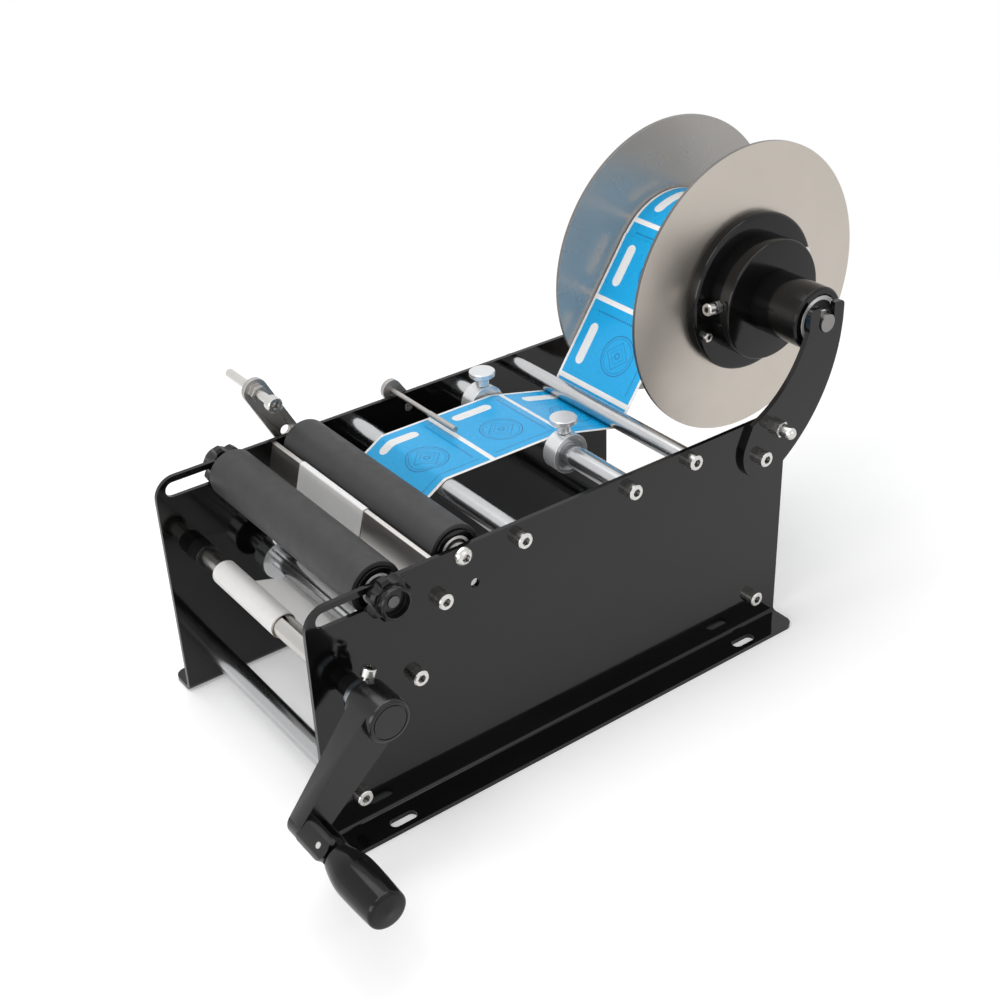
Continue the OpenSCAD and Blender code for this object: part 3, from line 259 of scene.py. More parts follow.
def soften(piece, width):
    """Joins the faces at their seams, shades curves smooth and rounds the sharp edges."""
    weld = piece.modifiers.new("weld", "WELD")
    weld.merge_threshold = WELD_REACH
    smooth = piece.modifiers.new("smooth", "NODES")
    smooth.node_group = SMOOTHING
    if width:
        edge = piece.modifiers.new("edge", "BEVEL")
        edge.width = width
        edge.segments = EDGE_SEGMENTS
        edge.limit_method = "ANGLE"
        edge.angle_limit = math.radians(EDGE_ANGLE_DEG)
        edge.harden_normals = True


# Materials

def rgba(colour):
    return (*colour, 1.0)


def grey(value, warmth=0.0):
    return (value * (1 + warmth), value, value * (1 - warmth))


def scaled(colour, factor):
    return [min(1.0, c * factor) for c in colour]


# Painted shade in deep sockets and slots: its colour, the openness over which it fades out, and its
# samples
HOLLOW_SHADE_COLOUR = grey(0.09)
HOLLOW_SHADE_FADE = (0.4, 0.62)
HOLLOW_SHADE_SAMPLES = 8

# Edges: painted shade on the rim of the discs, and the cut edge of the paper
DISC_RIM_SHADE = (0.16, 0.155, 0.15)
PAPER_EDGE = (0.52, 0.44, 0.34)

# How working marks stretch: round a turned piece, along a ground bar, along a rod, or all ways
ROUND_MARKS = (14, 1500, 14)
LONG_MARKS = (2400, 14, 2400)
DRAWN_MARKS = (240, 5, 240)
PLAIN_MARKS = (500, 500, 500)

# Print on a label, in millimetres along and across it. A panel has a place, half its size and
# the radius of its corners, a ring or diamond its size and line, and the row of dots its place,
# step, radius, start and end.
BLUE = (0.004, 0.35, 0.69)
NAVY = (0.006, 0.07, 0.24)
NAVY_SHARE = 0.85
PRINT_WHITE = (0.76, 0.76, 0.75)
WHITE_PANEL = ((20, 48.5), (12.5, 3.1), 3.1)
MOTIF_PLACE = (21, 23)
MOTIF_RINGS = ((11.5, 0.55), (9.9, 0.3), (1.6, 0.6))
MOTIF_DIAMONDS = ((8.2, 0.5), (5.2, 0.35))
RULE_PANEL = ((22.5, 4.5), (19, 0.22), 0.2)
DOT_ROW = (39.5, 3.2, 0.55, 8, 52)


class Finish:
    """One material: a Principled shader and the nodes that vary it over the surface."""

    def __init__(self, name, **constants):
        self.material = bpy.data.materials.new(name)
        self.material.use_nodes = True
        self.tree = self.material.node_tree
        self.shader = self.tree.nodes["Principled BSDF"]
        for socket, value in constants.items():
            self.feed(socket.replace("_", " "), value)

    def feed(self, name, value):
        """Gives the shader's socket of that name a value."""
        feed(self.tree, self.shader.inputs[name], value)

    def node(self, kind, inputs=(), **settings):
        return add_node(self.tree, kind, inputs, **settings)

    def calc(self, operation, a, b=0.0):
        return self.node("ShaderNodeMath", {0: a, 1: b}, operation=operation).outputs[0]

    def vector(self, operation, a, b):
        return self.node("ShaderNodeVectorMath", {0: a, 1: b}, operation=operation).outputs[0]

    def place(self, stretch=(1, 1, 1), centre=(0, 0, 0)):
        """Places on the piece's own frame, measured from centre and stretched."""
        at = self.node("ShaderNodeTexCoord").outputs["Object"]
        return self.vector("MULTIPLY", self.vector("SUBTRACT", at, centre), stretch)

    def from_axis(self, centre):
        """Distance from an axis along Y through centre."""
        across = self.place((1, 0, 1), centre)
        return self.node("ShaderNodeVectorMath", {0: across}, operation="LENGTH").outputs["Value"]

    def facing_y(self):
        """1 on faces that look along the Y axis and 0 on those that look across it."""
        facing = self.node("ShaderNodeTexCoord").outputs["Normal"]
        parts = self.node("ShaderNodeSeparateXYZ", {0: facing})
        return self.calc("ABSOLUTE", parts.outputs[1])

    def noise(self, scale, detail=3.0, stretch=(1, 1, 1), at=None):
        at = at or self.place(stretch)
        inputs = {"Vector": at, "Scale": scale, "Detail": detail}
        return self.node("ShaderNodeTexNoise", inputs).outputs[0]

    def rings(self, centre, scale, detail, along=0.0):
        """Noise in rings round an axis along Y through centre, which may vary along it too."""
        inputs = {0: self.calc("MULTIPLY", self.from_axis(centre), scale)}
        if along:
            y = self.node("ShaderNodeSeparateXYZ", {0: self.place()}).outputs[1]
            inputs[1] = self.calc("MULTIPLY", y, along)
        return self.noise(1, detail, at=self.node("ShaderNodeCombineXYZ", inputs).outputs[0])

    def span(self, value, low, high, start=0.3, end=0.7):
        inputs = {"Value": value, "From Min": start, "From Max": end, "To Min": low, "To Max": high}
        return self.node("ShaderNodeMapRange", inputs).outputs[0]

    def mix(self, share, a, b):
        return self.node("ShaderNodeMix", {0: share, 6: a, 7: b}, data_type="RGBA").outputs[2]

    def tint(self, share, a, b):
        self.feed("Base Color", self.mix(share, rgba(a), rgba(b)))

    def retint(self, keep, colour):
        """Puts a colour in place of what is there already, where keep is 0."""
        there = self.shader.inputs["Base Color"].links[0].from_socket
        self.feed("Base Color", self.mix(keep, rgba(colour), there))

    def paint_hollow_shade(self, reach):
        """Paints shade into the colour inside sockets and slots narrower than reach, darker where
        they close in.
        """
        openness = self.node("ShaderNodeAmbientOcclusion", {"Distance": reach},
                             only_local=True, samples=HOLLOW_SHADE_SAMPLES).outputs["AO"]
        self.retint(self.span(openness, 0, 1, *HOLLOW_SHADE_FADE), HOLLOW_SHADE_COLOUR)

    def paint_rim_shade(self, colour):
        """Paints shade on the faces that look across the Y axis: a dark colour of their own."""
        self.retint(self.span(self.facing_y(), 0, 1, 0.5, 0.9), colour)

    def brown_edges(self, colour):
        """Gives the faces that look along the Y axis a colour of their own."""
        self.retint(self.span(self.facing_y(), 1, 0, 0.6, 0.8), colour)

    def roughness(self, value, low, high):
        self.feed("Roughness", self.span(value, low, high))

    def bump(self, height, depth, strength=1.0):
        """Adds relief of that depth over what is there already."""
        socket = self.shader.inputs["Normal"]
        inputs = {"Height": height, "Distance": depth, "Strength": strength}
        if socket.is_linked:
            inputs["Normal"] = socket.links[0].from_socket
        self.feed("Normal", self.node("ShaderNodeBump", inputs).outputs[0])


def black_paint():
    """Gloss enamel with a faint orange peel and a little dust in the gloss."""
    f = Finish("black_paint", Specular_IOR_Level=0.36)
    f.tint(f.noise(45), grey(0.0022), grey(0.0048))
    f.roughness(f.noise(30, 5), 0.06, 0.12)
    f.bump(f.noise(650, 1), 0.02 * MM, 0.3)
    return f.material


def cast_paint():
    """Black enamel over a casting, which leaves it a little uneven."""
    f = Finish("cast_paint", Specular_IOR_Level=0.4)
    f.tint(f.noise(60), grey(0.0035), grey(0.0065))
    f.roughness(f.noise(120, 4), 0.17, 0.25)
    f.bump(f.noise(300, 2), 0.05 * MM, 0.3)
    f.bump(f.noise(1800, 2), 0.01 * MM, 0.3)
    return f.material


def turned_plastic(name, axis_node):
    """Black plastic turned on a lathe: fine rings round its axis."""
    f = Finish(name, Specular_IOR_Level=0.29)
    f.tint(f.noise(70), grey(0.003), grey(0.006))
    f.roughness(f.noise(90, 4), 0.09, 0.15)
    f.bump(f.rings(middle(axis_node), 1100, 1, along=1100), 0.04 * MM, 0.4)
    return f.material


def moulded_plastic(name, shine, low, high):
    """Moulded black plastic with a fine grain, its roughness between low and high."""
    f = Finish(name, Specular_IOR_Level=shine)
    f.tint(f.noise(80), grey(0.004), grey(0.008))
    f.roughness(f.noise(140, 4), low, high)
    f.bump(f.noise(1400, 2), 0.02 * MM, 0.25)
    return f.material


def rubber():
    """Ground rubber: matte, with fine marks round the roller."""
    f = Finish("rubber", Specular_IOR_Level=0.4)
    f.tint(f.noise(55, 5), grey(0.021), grey(0.032))
    f.roughness(f.noise(160, 4), 0.48, 0.62)
    f.bump(f.noise(1, 2, (60, 2600, 60)), 0.05 * MM, 0.5)
    f.bump(f.noise(2600, 3), 0.05 * MM, 0.4)
    return f.material


def metal(name, colour, low, high, stretch, marks_mm=0.0, hollow_shade_reach=0.0, metallic=1.0):
    """Bare metal with a roughness between low and high, and fine working marks: stretch says
    which way they run. Sockets and slots narrower than the given reach get painted shade."""
    f = Finish(name, Metallic=metallic)
    f.tint(f.noise(90, 4), scaled(colour, 0.94), scaled(colour, 1.06))
    lines = f.noise(1, 1, stretch)
    f.roughness(lines, low, high)
    if marks_mm:
        f.bump(lines, marks_mm * MM, 0.4)
    if hollow_shade_reach:
        f.paint_hollow_shade(hollow_shade_reach)
    return f.material


def bearing(node, axis_node, wall):
    """A bright ground outer ring round a dark shield, on an axis along Y."""
    f = Finish(node)
    ring = f.calc("GREATER_THAN", f.from_axis(middle(axis_node)), radius(node) - wall)
    grain = f.noise(700, 3)
    f.tint(ring, grey(0.012), grey(0.78, 0.01))
    f.feed("Metallic", f.calc("MULTIPLY", ring, 0.3))
    shield = f.span(grain, 0.5, 0.6)
    f.feed("Roughness", f.calc("SUBTRACT", shield, f.calc("MULTIPLY", ring, 0.24)))
    f.bump(grain, 0.01 * MM, 0.3)
    return f.material


def brushed_disc(name, colour, metallic, low, high, axis_node):
    """Sheet metal polished round the reel axis, its edge darkened with painted shade."""
    f = Finish(name, Metallic=metallic, Anisotropic=0.35)
    cloud = f.noise(1, 4, at=f.place((40, 40, 40), middle(axis_node)))
    f.tint(cloud, scaled(colour, 0.95), scaled(colour, 1.05))
    f.paint_rim_shade(DISC_RIM_SHADE)
    f.roughness(f.noise(60, 4), low, high)
    f.bump(f.noise(900, 3), 0.004 * MM, 0.25)
    tangent = f.node("ShaderNodeTangent", direction_type="RADIAL", axis="Y")
    f.feed("Tangent", tangent.outputs[0])
    return f.material


def liner_paper(name, low, high):
    """Smooth coated backing paper with a trace of fibre, its grey between low and high."""
    f = Finish(name, Subsurface_Weight=0.5, Subsurface_Radius=(1, 1, 1),
               Subsurface_Scale=0.4 * MM)
    f.tint(f.noise(260, 6), grey(low, 0.012), grey(high, 0.012))
    f.brown_edges(PAPER_EDGE)
    f.roughness(f.noise(200, 3), 0.34, 0.44)
    f.bump(f.noise(900, 4), 0.02 * MM, 0.3)
    return f.material


def wound_edges(axis_node):
    """The sides of the wound roll: thin rings of paper, film and shadow."""
    f = Finish("wound_edges")
    rings = f.rings(middle(axis_node), 4200, 2)
    f.tint(f.span(rings, 0, 1), (0.42, 0.55, 0.66), grey(0.82, 0.01))
    f.roughness(rings, 0.5, 0.7)
    f.bump(rings, 0.05 * MM, 0.6)
    return f.material


def card():
    """Grey-brown card tube."""
    f = Finish("card")
    f.tint(f.noise(300, 6), (0.30, 0.23, 0.16), (0.38, 0.30, 0.21))
    f.roughness(f.noise(300, 3), 0.7, 0.85)
    f.bump(f.noise(1200, 4), 0.04 * MM, 0.5)
    return f.material


def label_print():
    """Blue film labels with a plain round-ended panel, a ring and diamond and a row of dots.
    U runs along the label from its leading edge and V across it from the near edge."""
    f = Finish("label_print", Specular_IOR_Level=0.45)
    uv = f.node("ShaderNodeUVMap", uv_map="web").outputs[0]
    parts = f.node("ShaderNodeSeparateXYZ", {0: uv})
    along = f.calc("MULTIPLY", parts.outputs[0], LABEL_LONG / MM)
    across = f.calc("MULTIPLY", parts.outputs[1], LABEL_WIDE / MM)

    def length(x, y):
        return f.calc("SQRT", f.calc("ADD", f.calc("MULTIPLY", x, x), f.calc("MULTIPLY", y, y)))

    def away(value, centre):
        return f.calc("ABSOLUTE", f.calc("SUBTRACT", value, centre))

    def panel(centre, half, corner):
        x = f.calc("MAXIMUM", f.calc("SUBTRACT", away(along, centre[0]), half[0] - corner))
        y = f.calc("MAXIMUM", f.calc("SUBTRACT", away(across, centre[1]), half[1] - corner))
        return f.calc("LESS_THAN", length(x, y), corner)

    def ring(size, line):
        far = length(away(along, MOTIF_PLACE[0]), away(across, MOTIF_PLACE[1]))
        return f.calc("LESS_THAN", away(far, size), line / 2)

    def diamond(size, line):
        far = f.calc("ADD", away(along, MOTIF_PLACE[0]), away(across, MOTIF_PLACE[1]))
        return f.calc("LESS_THAN", away(far, size), line / 2)

    def dots(at_along, step, size, low, high):
        wave = f.calc("SUBTRACT", f.calc("PINGPONG", across, step / 2), step / 4)
        dot = f.calc("LESS_THAN", length(away(along, at_along), wave), size)
        after = f.calc("GREATER_THAN", across, low)
        before = f.calc("LESS_THAN", across, high)
        return f.calc("MULTIPLY", dot, f.calc("MULTIPLY", after, before))

    lines = f.calc("MAXIMUM", panel(*RULE_PANEL), dots(*DOT_ROW))
    for drawn, rows in ((ring, MOTIF_RINGS), (diamond, MOTIF_DIAMONDS)):
        for row in rows:
            lines = f.calc("MAXIMUM", lines, drawn(*row))
    blues = rgba(scaled(BLUE, 0.95)), rgba(scaled(BLUE, 1.05))
    ink = f.mix(f.span(f.noise(420, 4), 0, 1), *blues)
    ink = f.mix(f.calc("MULTIPLY", lines, NAVY_SHARE), ink, rgba(NAVY))
    f.feed("Base Color", f.mix(panel(*WHITE_PANEL), ink, rgba(PRINT_WHITE)))
    f.roughness(f.noise(150, 3), 0.26, 0.34)
    f.bump(f.noise(700, 3), 0.015 * MM, 0.25)
    return f.material


PAINT = black_paint()
CAST = cast_paint()
REEL_PLASTIC = turned_plastic("reel_plastic", "reel_shaft")
REAR_CORE = turned_plastic("rear_core_plastic", "rear_roller_shaft")
FRONT_CORE = turned_plastic("front_core_plastic", "front_roller_shaft")
KNOB = moulded_plastic("knob_plastic", 0.32, 0.20, 0.28)
GRIP = moulded_plastic("grip_plastic", 0.22, 0.10, 0.16)
RUBBER = rubber()
ROD = metal("bright_rod", (0.55, 0.555, 0.565), 0.21, 0.24, DRAWN_MARKS)
# The foot rods are the same steel as the bright rods, in a darker copy: painted shade.
SHADED_FOOT_ROD = metal("foot_rod", (0.43, 0.433, 0.44), 0.21, 0.24, DRAWN_MARKS)
SCREW = metal("bright_screw", (0.63, 0.62, 0.60), 0.20, 0.28, PLAIN_MARKS, hollow_shade_reach=3 * MM)
CHROME = metal("chrome", (0.74, 0.75, 0.76), 0.19, 0.22, DRAWN_MARKS, hollow_shade_reach=2 * MM)
NICKEL = metal("nickel", (0.72, 0.73, 0.74), 0.25, 0.27, DRAWN_MARKS, hollow_shade_reach=1.5 * MM,
               metallic=0.6)
TURNED = metal("turned_steel", (0.38, 0.37, 0.355), 0.26, 0.34, ROUND_MARKS, 0.0006)
SHAFT = metal("shaft_steel", (0.25, 0.245, 0.24), 0.30, 0.40, ROUND_MARKS, 0.0006)
DARK_STEEL = metal("dark_steel", (0.12, 0.12, 0.122), 0.34, 0.44, PLAIN_MARKS, 0.002)
COLLAR = metal("collar_steel", (0.30, 0.33, 0.36), 0.16, 0.24, ROUND_MARKS, 0.0004)
TUBE = metal("tube_steel", (0.50, 0.49, 0.47), 0.22, 0.28, DRAWN_MARKS, hollow_shade_reach=2 * MM)
LEVER = metal("lever_steel", (0.40, 0.388, 0.375), 0.36, 0.46, PLAIN_MARKS, 0.004)
PEEL = metal("peel_steel", (0.62, 0.60, 0.575), 0.30, 0.42, LONG_MARKS, 0.003)
DISC_NEAR = brushed_disc("disc_near", (0.545, 0.50, 0.45), 1.0, 0.33, 0.38, "reel_shaft")
DISC_FAR = brushed_disc("disc_far", (0.46, 0.43, 0.40), 0.32, 0.26, 0.28, "reel_shaft")
# One backing paper made twice: the web copy is painted lighter, as painted light where the rollers
# shade it, and the wound copy on the take-up is painted darker, as painted shade.
LIT_LINER = liner_paper("liner_paper", 0.80, 0.85)
SHADED_LINER = liner_paper("wound_paper_shaded", 0.58, 0.63)
LABEL = label_print()
ROLL_EDGE = wound_edges("reel_shaft")
CARD = card()

# Outer rings of the bearings, the shaft of each and the wall of its bright ring
BEARINGS = [
    ("rear_bearing_outers", "rear_roller_shaft", 1.4 * MM),
    ("front_bearing_outers", "front_roller_shaft", 1.4 * MM),
    ("reel_bearing_outers", "reel_shaft", 2.2 * MM),
]

# Finish of each solid, and how far its edges are rounded
FINISHES = [
    (PAINT, EDGE_WIDTH, ["right_plate", "left_plate", "right_arm", "left_arm"]),
    (CAST, CAST_EDGE_WIDTH, ["crank_arm"]),
    (CAST, EDGE_WIDTH, ["grip_spindle"]),
    (KNOB, MOULDED_EDGE_WIDTH, ["star_knob_right", "star_knob_left", "takeup_bushes"]),
    (GRIP, EDGE_WIDTH, ["grip"]),
    (REEL_PLASTIC, EDGE_WIDTH, ["reel_tube", "far_hub", "near_hub"]),
    (REAR_CORE, EDGE_WIDTH, ["rear_roller_core"]),
    (FRONT_CORE, EDGE_WIDTH, ["front_roller_core"]),
    (RUBBER, MOULDED_EDGE_WIDTH, ["rear_roller_sleeve", "front_roller_sleeve"]),
    (SHADED_FOOT_ROD, EDGE_WIDTH, ["foot_rods"]),
    (ROD, EDGE_WIDTH, ["backing_rod", "lead_rod", "guide_rod", "drop_rod"]),
    (SCREW, FINE_EDGE_WIDTH, [
        "tie_screws_right", "tie_screws_left", "button_screws", "arm_fasteners", "crank_set_screw",
        "near_hub_screws", "hub_lock_screw", "fold_pin", "stop_screw", "rear_bearing_inners",
        "front_bearing_inners", "reel_bearing_inners"]),
    (NICKEL, COLLAR_EDGE_WIDTH, ["guide_collar_right", "guide_collar_left"]),
    (CHROME, COLLAR_EDGE_WIDTH, ["backing_collar_right", "backing_collar_left"]),
    (NICKEL, FINE_EDGE_WIDTH, ["guide_screw_right", "guide_screw_left"]),
    (TURNED, EDGE_WIDTH, ["rear_roller_shaft", "takeup_shaft"]),
    (COLLAR, EDGE_WIDTH, ["crank_collar"]),
    (SHAFT, EDGE_WIDTH, ["reel_shaft"]),
    (DARK_STEEL, EDGE_WIDTH, ["front_roller_shaft"]),
    (TUBE, EDGE_WIDTH, ["takeup_tube"]),
    (LEVER, EDGE_WIDTH, ["stop_lever", "pointer_lever", "pointer_rod"]),
    (PEEL, FINE_EDGE_WIDTH, ["peel_bar"]),
    (DISC_NEAR, FINE_EDGE_WIDTH, ["near_disc"]),
    (DISC_FAR, FINE_EDGE_WIDTH, ["far_disc"]),
    *[(bearing(*row), FINE_EDGE_WIDTH, [row[0]]) for row in BEARINGS],
]


def dress_solids():
    for material, width, names in FINISHES:
        for name in names:
            piece = nodes[name]
            for slot in piece.material_slots:
                slot.material = material
            soften(piece, width)


# Route of the label web

def run_heading(a, b):
    """Heading of the straight run that leaves circle a and meets circle b."""
    way = math.hypot(b[0] - a[0], b[1] - a[1])
    return math.atan2(b[1] - a[1], b[0] - a[0]) - math.asin((b[2] - a[2]) / way)


def touch(circle, heading):
    """Point of the circle where the web has that heading."""
    x, z, r = circle
    return (x + r * math.sin(heading), z - r * math.cos(heading))


class Straight:
    """A run from one circle to the next."""

    def __init__(self, start, end, heading):
        self.start = start
        self.heading = heading
        self.length = math.dist(start, end)

    def place(self, t):
        x = self.start[0] + t * math.cos(self.heading)
        z = self.start[1] + t * math.sin(self.heading)
        return x, z, self.heading

    def stops(self):
        count = math.ceil(self.length / STRAIGHT_STEP)
        return [self.length * k / count for k in range(count + 1)]


class Arc:
    """A run round a circle, through an angle from the heading at which the web meets it."""

    def __init__(self, circle, heading, turn):
        self.circle = circle
        self.heading = heading
        self.turn = turn
        self.length = abs(turn * circle[2])

    def place(self, t):
        heading = self.heading + self.turn * t / self.length
        return (*touch(self.circle, heading), heading)

    def stops(self):
        count = math.ceil(abs(self.turn) / ARC_STEP)
        return [self.length * k / count for k in range(count + 1)]


class Route:
    """Straights and arcs one after another; the first is on the roll and ends at distance 0."""

    def __init__(self, circles):
        headings = [run_heading(a, b) for a, b in zip(circles, circles[1:])]
        self.runs = [Arc(circles[0], headings[0] - ROLL_TURN, ROLL_TURN)]
        for i, heading in enumerate(headings):
            start = touch(circles[i], heading)
            end = touch(circles[i + 1], heading)
            self.runs.append(Straight(start, end, heading))
            if i + 1 < len(headings):
                turn = (headings[i + 1] - heading) % math.tau
                if circles[i + 1][2] < 0:
                    turn -= math.tau
                self.runs.append(Arc(circles[i + 1], heading, turn))
        self.starts = [-self.runs[0].length]
        for run in self.runs:
            self.starts.append(self.starts[-1] + run.length)

    def place(self, s):
        for start, run in zip(self.starts, self.runs):
            if s <= start + run.length:
                return run.place(max(0.0, s - start))
        return self.runs[-1].place(self.runs[-1].length)

    def stops(self, low, high):
        """Distances of the route's own steps between low and high, with both ends."""
        found = {low, high}
        for start, run in zip(self.starts, self.runs):
            found.update(start + t for t in run.stops() if low < start + t < high)
        return sorted(found)

    def point(self, s, beside, y):
        x, z, heading = self.place(s)
        return (x - beside * math.sin(heading), y, z + beside * math.cos(heading))


def peel_circles():
    """The two edges and the heel of the peel bar, worked out from the rear roller."""
    x, z, r = round_of("rear_roller_sleeve")
    reach = r + PEEL_GAP
    tip = (x - reach * math.cos(PEEL_RISE), z + reach * math.sin(PEEL_RISE))
    edge = (tip[0] - PEEL_LAND, tip[1] - PEEL_LAND_FALL * PEEL_LAND)
    heel = (edge[0] - PEEL_FACE * math.sin(PEEL_LEAN), edge[1] - PEEL_FACE * math.cos(PEEL_LEAN))
    return (*tip, PEEL_TIP_R), (*edge, PEEL_TIP_R), (*heel, PEEL_HEEL_R)


def web_route():
    stand_off = WEB_CLEAR + WEB_THICK / 2
    circles = [
        round_of("label_roll"), round_of("drop_rod", -1), round_of("guide_rod"),
        round_of("lead_rod"), round_of("rear_roller_sleeve", -1), *peel_circles(),
        round_of("backing_rod", -1), round_of("takeup_paper", -1),
    ]
    return Route([(x, z, r + math.copysign(stand_off, r)) for x, z, r in circles])


ROUTE = web_route()
ROUTE_FEED_END = ROUTE.starts[RUN_DROP_ROD]
ROUTE_PEEL = ROUTE.starts[RUN_PEEL_EDGE]
ROUTE_END = ROUTE.starts[-1]
WEB_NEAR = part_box("label_web")[0].y
WEB_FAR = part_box("label_web")[1].y
WEB_MIDDLE = (WEB_NEAR + WEB_FAR) / 2
LABEL_NEAR = WEB_MIDDLE - LABEL_WIDE / 2
LABEL_FAR = WEB_MIDDLE + LABEL_WIDE / 2
FACE_LEFT = WEB_THICK / 2
FACE_RIGHT = -WEB_THICK / 2
LABEL_SEAT = FACE_RIGHT + LABEL_THICK


def cross_sections(shape, stops, left, right, near, far):
    """Rings of four corners along the route, beside it by left and right."""
    corners = [(left, near), (left, far), (right, far), (right, near)]
    return [shape.ring([ROUTE.point(s, beside, y) for beside, y in corners]) for s in stops]


def add_liner(shape, low, high):
    """A thin closed strip of backing paper along the route."""
    stops = ROUTE.stops(low, high)
    shape.sleeve(cross_sections(shape, stops, FACE_LEFT, LABEL_SEAT, WEB_NEAR, WEB_FAR))


def add_label(shape, low, high, start, raise_by=0.0, print_slot=0, edge_slot=1):
    """A label, or the stretch of it from low to high, that begins at start along the route."""
    stops = ROUTE.stops(low, high)
    seat, face = LABEL_SEAT + raise_by, FACE_RIGHT + raise_by
    rings = cross_sections(shape, stops, seat, face, LABEL_NEAR, LABEL_FAR)
    for (s, a), (t, b) in zip(zip(stops, rings), zip(stops[1:], rings[1:])):
        u = 1 - (s - start) / LABEL_LONG
        w = 1 - (t - start) / LABEL_LONG
        shape.face((a[2], a[3], b[3], b[2]), print_slot, [(u, 1), (u, 0), (w, 0), (w, 1)])
        for k in (0, 1, 3):
            m = (k + 1) % 4
            shape.face((a[k], a[m], b[m], b[k]), edge_slot)
    shape.face(rings[0], edge_slot)
    shape.face(rings[-1], edge_slot)


def labels_between(low, high):
    """Each label, or the stretch of one, that lies between two distances, with its own start."""
    gap = (LABEL_PITCH - LABEL_LONG) / 2
    number = math.floor((low - LABEL_FIRST) / LABEL_PITCH)
    while LABEL_FIRST + number * LABEL_PITCH < high:
        start = LABEL_FIRST + number * LABEL_PITCH + gap
        first, last = max(low, start), min(high, start + LABEL_LONG)
        if last - first > LABEL_LEAST:
            yield first, last, start
        number += 1


def make_web():
    """The backing paper from the drop rod to the take-up, with labels as far as the peel edge."""
    liner = Shape()
    add_liner(liner, ROUTE_FEED_END, ROUTE_END)
    liner_piece = liner.piece("web_liner", [LIT_LINER])
    labels = Shape()
    for low, high, start in labels_between(ROUTE_FEED_END, ROUTE_PEEL):
        add_label(labels, low, high, start)
    label_piece = labels.piece("web_labels", [LABEL, LIT_LINER])
    for made in (liner_piece, label_piece):
        soften(made, 0)
        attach(made, "frame")
    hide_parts("label_web")


def make_feed():
    """The free stretch from the roll to the drop rod."""
    liner = Shape()
    add_liner(liner, 0.0, ROUTE_FEED_END)
    liner_piece = liner.piece("feed_liner", [LIT_LINER])
    labels = Shape()
    for low, high, start in labels_between(0.0, ROUTE_FEED_END):
        add_label(labels, low, high, start)
    label_piece = labels.piece("feed_labels", [LABEL, LIT_LINER])
    drop_end = ROUTE.point(ROUTE_FEED_END, 0, WEB_MIDDLE)
    roll_end = ROUTE.point(0.0, 0, WEB_MIDDLE)
    for made in (liner_piece, label_piece):
        soften(made, 0)
        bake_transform(made)
    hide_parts("label_feed")


def add_turned(shape, centre, profile, segments, slots):
    """A closed profile of radius and Y turned round an axis along Y. Slots gives the material of
    each side of the profile."""
    rings = []
    for k in range(segments):
        a = math.tau * k / segments
        rings.append(shape.ring([
            (centre.x + r * math.cos(a), y, centre.z + r * math.sin(a)) for r, y in profile]))
    count = len(profile)
    for i, ring in enumerate(rings):
        after = rings[(i + 1) % segments]
        for k in range(count):
            m = (k + 1) % count
            shape.face((ring[k], ring[m], after[m], after[k]), slots[k])


def make_roll():
    """The wound labels: layered sides, labels round the outside, and the card core."""
    at = middle("label_roll")
    outer = radius("label_roll") - LABEL_THICK
    inner = radius("reel_tube") + CORE_FIT
    core = inner + CORE_WALL
    step = (outer - core) / ROLL_LAYERS
    far_side = [
        (core + step * k / 2, WEB_FAR - ROLL_RIDGE * (k % 2)) for k in range(2 * ROLL_LAYERS + 1)]
    near_side = [(r, WEB_NEAR + (WEB_FAR - y)) for r, y in reversed(far_side)]
    shape = Shape()
    side_slots = [1] * (len(far_side) - 1)
    slots = side_slots + [0] + side_slots + [0]
    add_turned(shape, at, far_side + near_side, ROLL_SEGMENTS, slots)
    rim = core - CORE_CLEAR
    wall = [(inner, WEB_NEAR), (rim, WEB_NEAR), (rim, WEB_FAR), (inner, WEB_FAR)]
    add_turned(shape, at, wall, CORE_SEGMENTS, [2] * 4)
    sink = WEB_CLEAR + WEB_THICK
    for low, high, start in labels_between(ROUTE.starts[0], 0.0):
        add_label(shape, low, high, start, raise_by=sink, print_slot=3, edge_slot=0)
    made = shape.piece("wound_labels", [LIT_LINER, ROLL_EDGE, CARD, LABEL])
    soften(made, 0)
    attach(made, "reel")
    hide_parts("label_roll")


def make_wound_paper():
    """Backing paper wound on the slit tube, its layers a little out of line at the ends."""
    at = middle("takeup_paper")
    inner = radius("takeup_tube") + WOUND_CLEAR
    outer = radius("takeup_paper") - WOUND_THICK
    steps = int(WOUND_TURNS * WOUND_STEPS)
    shape = Shape()
    rings = []
    for k in range(steps + 1):
        turns = WOUND_TURNS * k / steps
        a = math.tau * turns
        r = inner + (outer - inner) * turns / WOUND_TURNS
        stray = sum(wave * math.sin(rate * a + start) for wave, rate, start in WOUND_STRAY)
        low, high = WEB_NEAR + stray, WEB_FAR + stray
        corners = [(r, low), (r, high), (r + WOUND_THICK, high), (r + WOUND_THICK, low)]
        rings.append(shape.ring([
            (at.x + p * math.cos(a), y, at.z + p * math.sin(a)) for p, y in corners]))
    shape.sleeve(rings)
    made = shape.piece("wound_backing", [SHADED_LINER])
    soften(made, 0)
    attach(made, "crank")
    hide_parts("takeup_paper")


# Studio

def make_camera():
    data = bpy.data.cameras.new("camera")
    data.lens = CAMERA_LENS_MM
    data.sensor_width = CAMERA_SENSOR_MM
    data.clip_start, data.clip_end = CAMERA_CLIP
    camera = bpy.data.objects.new("camera", data)
    camera.location = CAMERA_PLACE
    camera.rotation_euler = [math.radians(a) for a in CAMERA_TURN_DEG]
    bpy.context.scene.collection.objects.link(camera)
    bpy.context.scene.camera = camera


def seen_directly(tree):
    """1 for what the camera sees, straight, in a reflection or through glass, and 0 for light."""
    path = add_node(tree, "ShaderNodeLightPath").outputs
    total = path["Is Camera Ray"]
    for ray in ("Is Glossy Ray", "Is Transmission Ray"):
        either = {0: total, 1: path[ray]}
        total = add_node(tree, "ShaderNodeMath", either, operation="MAXIMUM").outputs[0]
    return total


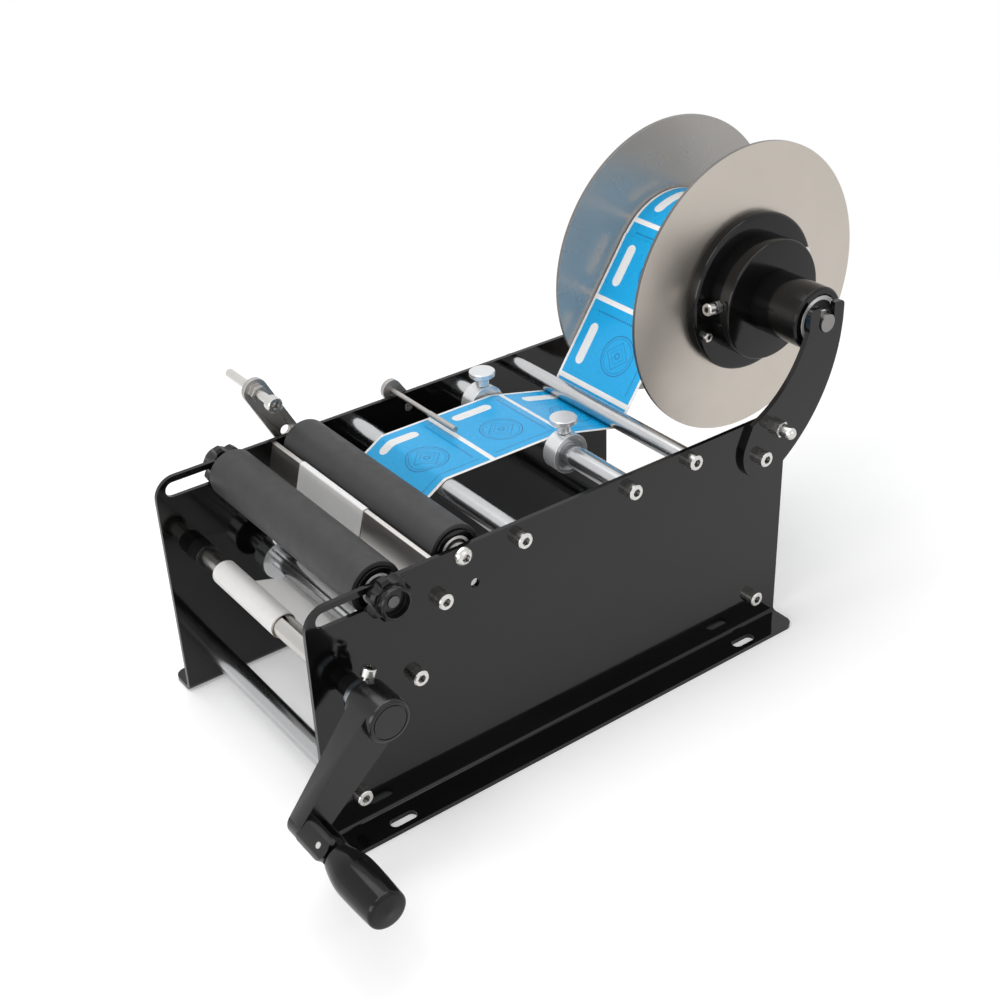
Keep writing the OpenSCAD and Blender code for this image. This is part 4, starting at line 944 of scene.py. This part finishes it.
def floor_material():
    """Matte white that glows a little for the camera, and fades to plain white far off."""
    material = bpy.data.materials.new("floor")
    material.use_nodes = True
    tree = material.node_tree
    tree.nodes.remove(tree.nodes["Principled BSDF"])
    seen = seen_directly(tree)
    matte = add_node(tree, "ShaderNodeBsdfDiffuse", {"Color": rgba(grey(FLOOR_WHITE))})
    lift = add_node(tree, "ShaderNodeMath", {0: seen, 1: FLOOR_LIFT}, operation="MULTIPLY")
    glow = add_node(tree, "ShaderNodeEmission", {"Strength": lift.outputs[0]})
    both = add_node(tree, "ShaderNodeAddShader", {0: matte.outputs[0], 1: glow.outputs[0]})
    at = add_node(tree, "ShaderNodeTexCoord").outputs["Object"]
    far = add_node(tree, "ShaderNodeVectorMath", {0: at}, operation="LENGTH").outputs["Value"]
    fade = add_node(tree, "ShaderNodeMapRange", {
        "Value": far, "From Min": FLOOR_FADE[0], "From Max": FLOOR_FADE[1],
    }, interpolation_type="SMOOTHSTEP")
    share = add_node(tree, "ShaderNodeMath", {0: fade.outputs[0], 1: seen}, operation="MULTIPLY")
    white = add_node(tree, "ShaderNodeEmission")
    blend = add_node(tree, "ShaderNodeMixShader", {
        0: share.outputs[0], 1: both.outputs[0], 2: white.outputs[0]})
    feed(tree, tree.nodes["Material Output"].inputs["Surface"], blend.outputs[0])
    return material


def make_floor():
    mesh = bpy.data.meshes.new("floor")
    half = FLOOR_SIZE / 2
    corners = [(-half, -half, 0), (half, -half, 0), (half, half, 0), (-half, half, 0)]
    mesh.from_pydata(corners, [], [(0, 1, 2, 3)])
    mesh.materials.append(floor_material())
    floor = bpy.data.objects.new("floor", mesh)
    floor.location.z = -FLOOR_DROP
    bpy.context.scene.collection.objects.link(floor)


def make_world():
    world = bpy.data.worlds.new("studio")
    bpy.context.scene.world = world
    world.use_nodes = True
    tree = world.node_tree
    level = add_node(tree, "ShaderNodeMapRange", {
        "Value": seen_directly(tree), "To Min": WORLD_DIFFUSE, "To Max": 1.0})
    back = tree.nodes["Background"]
    feed(tree, back.inputs["Color"], rgba(grey(1.0)))
    feed(tree, back.inputs["Strength"], level.outputs[0])


def make_lamps():
    """Softboxes that all face the middle of the object."""
    aim = (cad_low + cad_high) / 2
    for name, (place, size, watts) in LAMPS.items():
        data = bpy.data.lights.new(name, "AREA")
        data.shape = "RECTANGLE"
        data.size, data.size_y = size
        data.energy = watts
        lamp = bpy.data.objects.new(name, data)
        lamp.location = place
        lamp.rotation_euler = (aim - Vector(place)).to_track_quat("-Z", "Y").to_euler()
        bpy.context.scene.collection.objects.link(lamp)


bpy.context.scene.view_settings.view_transform = "Standard"
make_camera()
dress_solids()
make_web()
make_feed()
make_roll()
make_wound_paper()
make_floor()
make_world()
make_lamps()
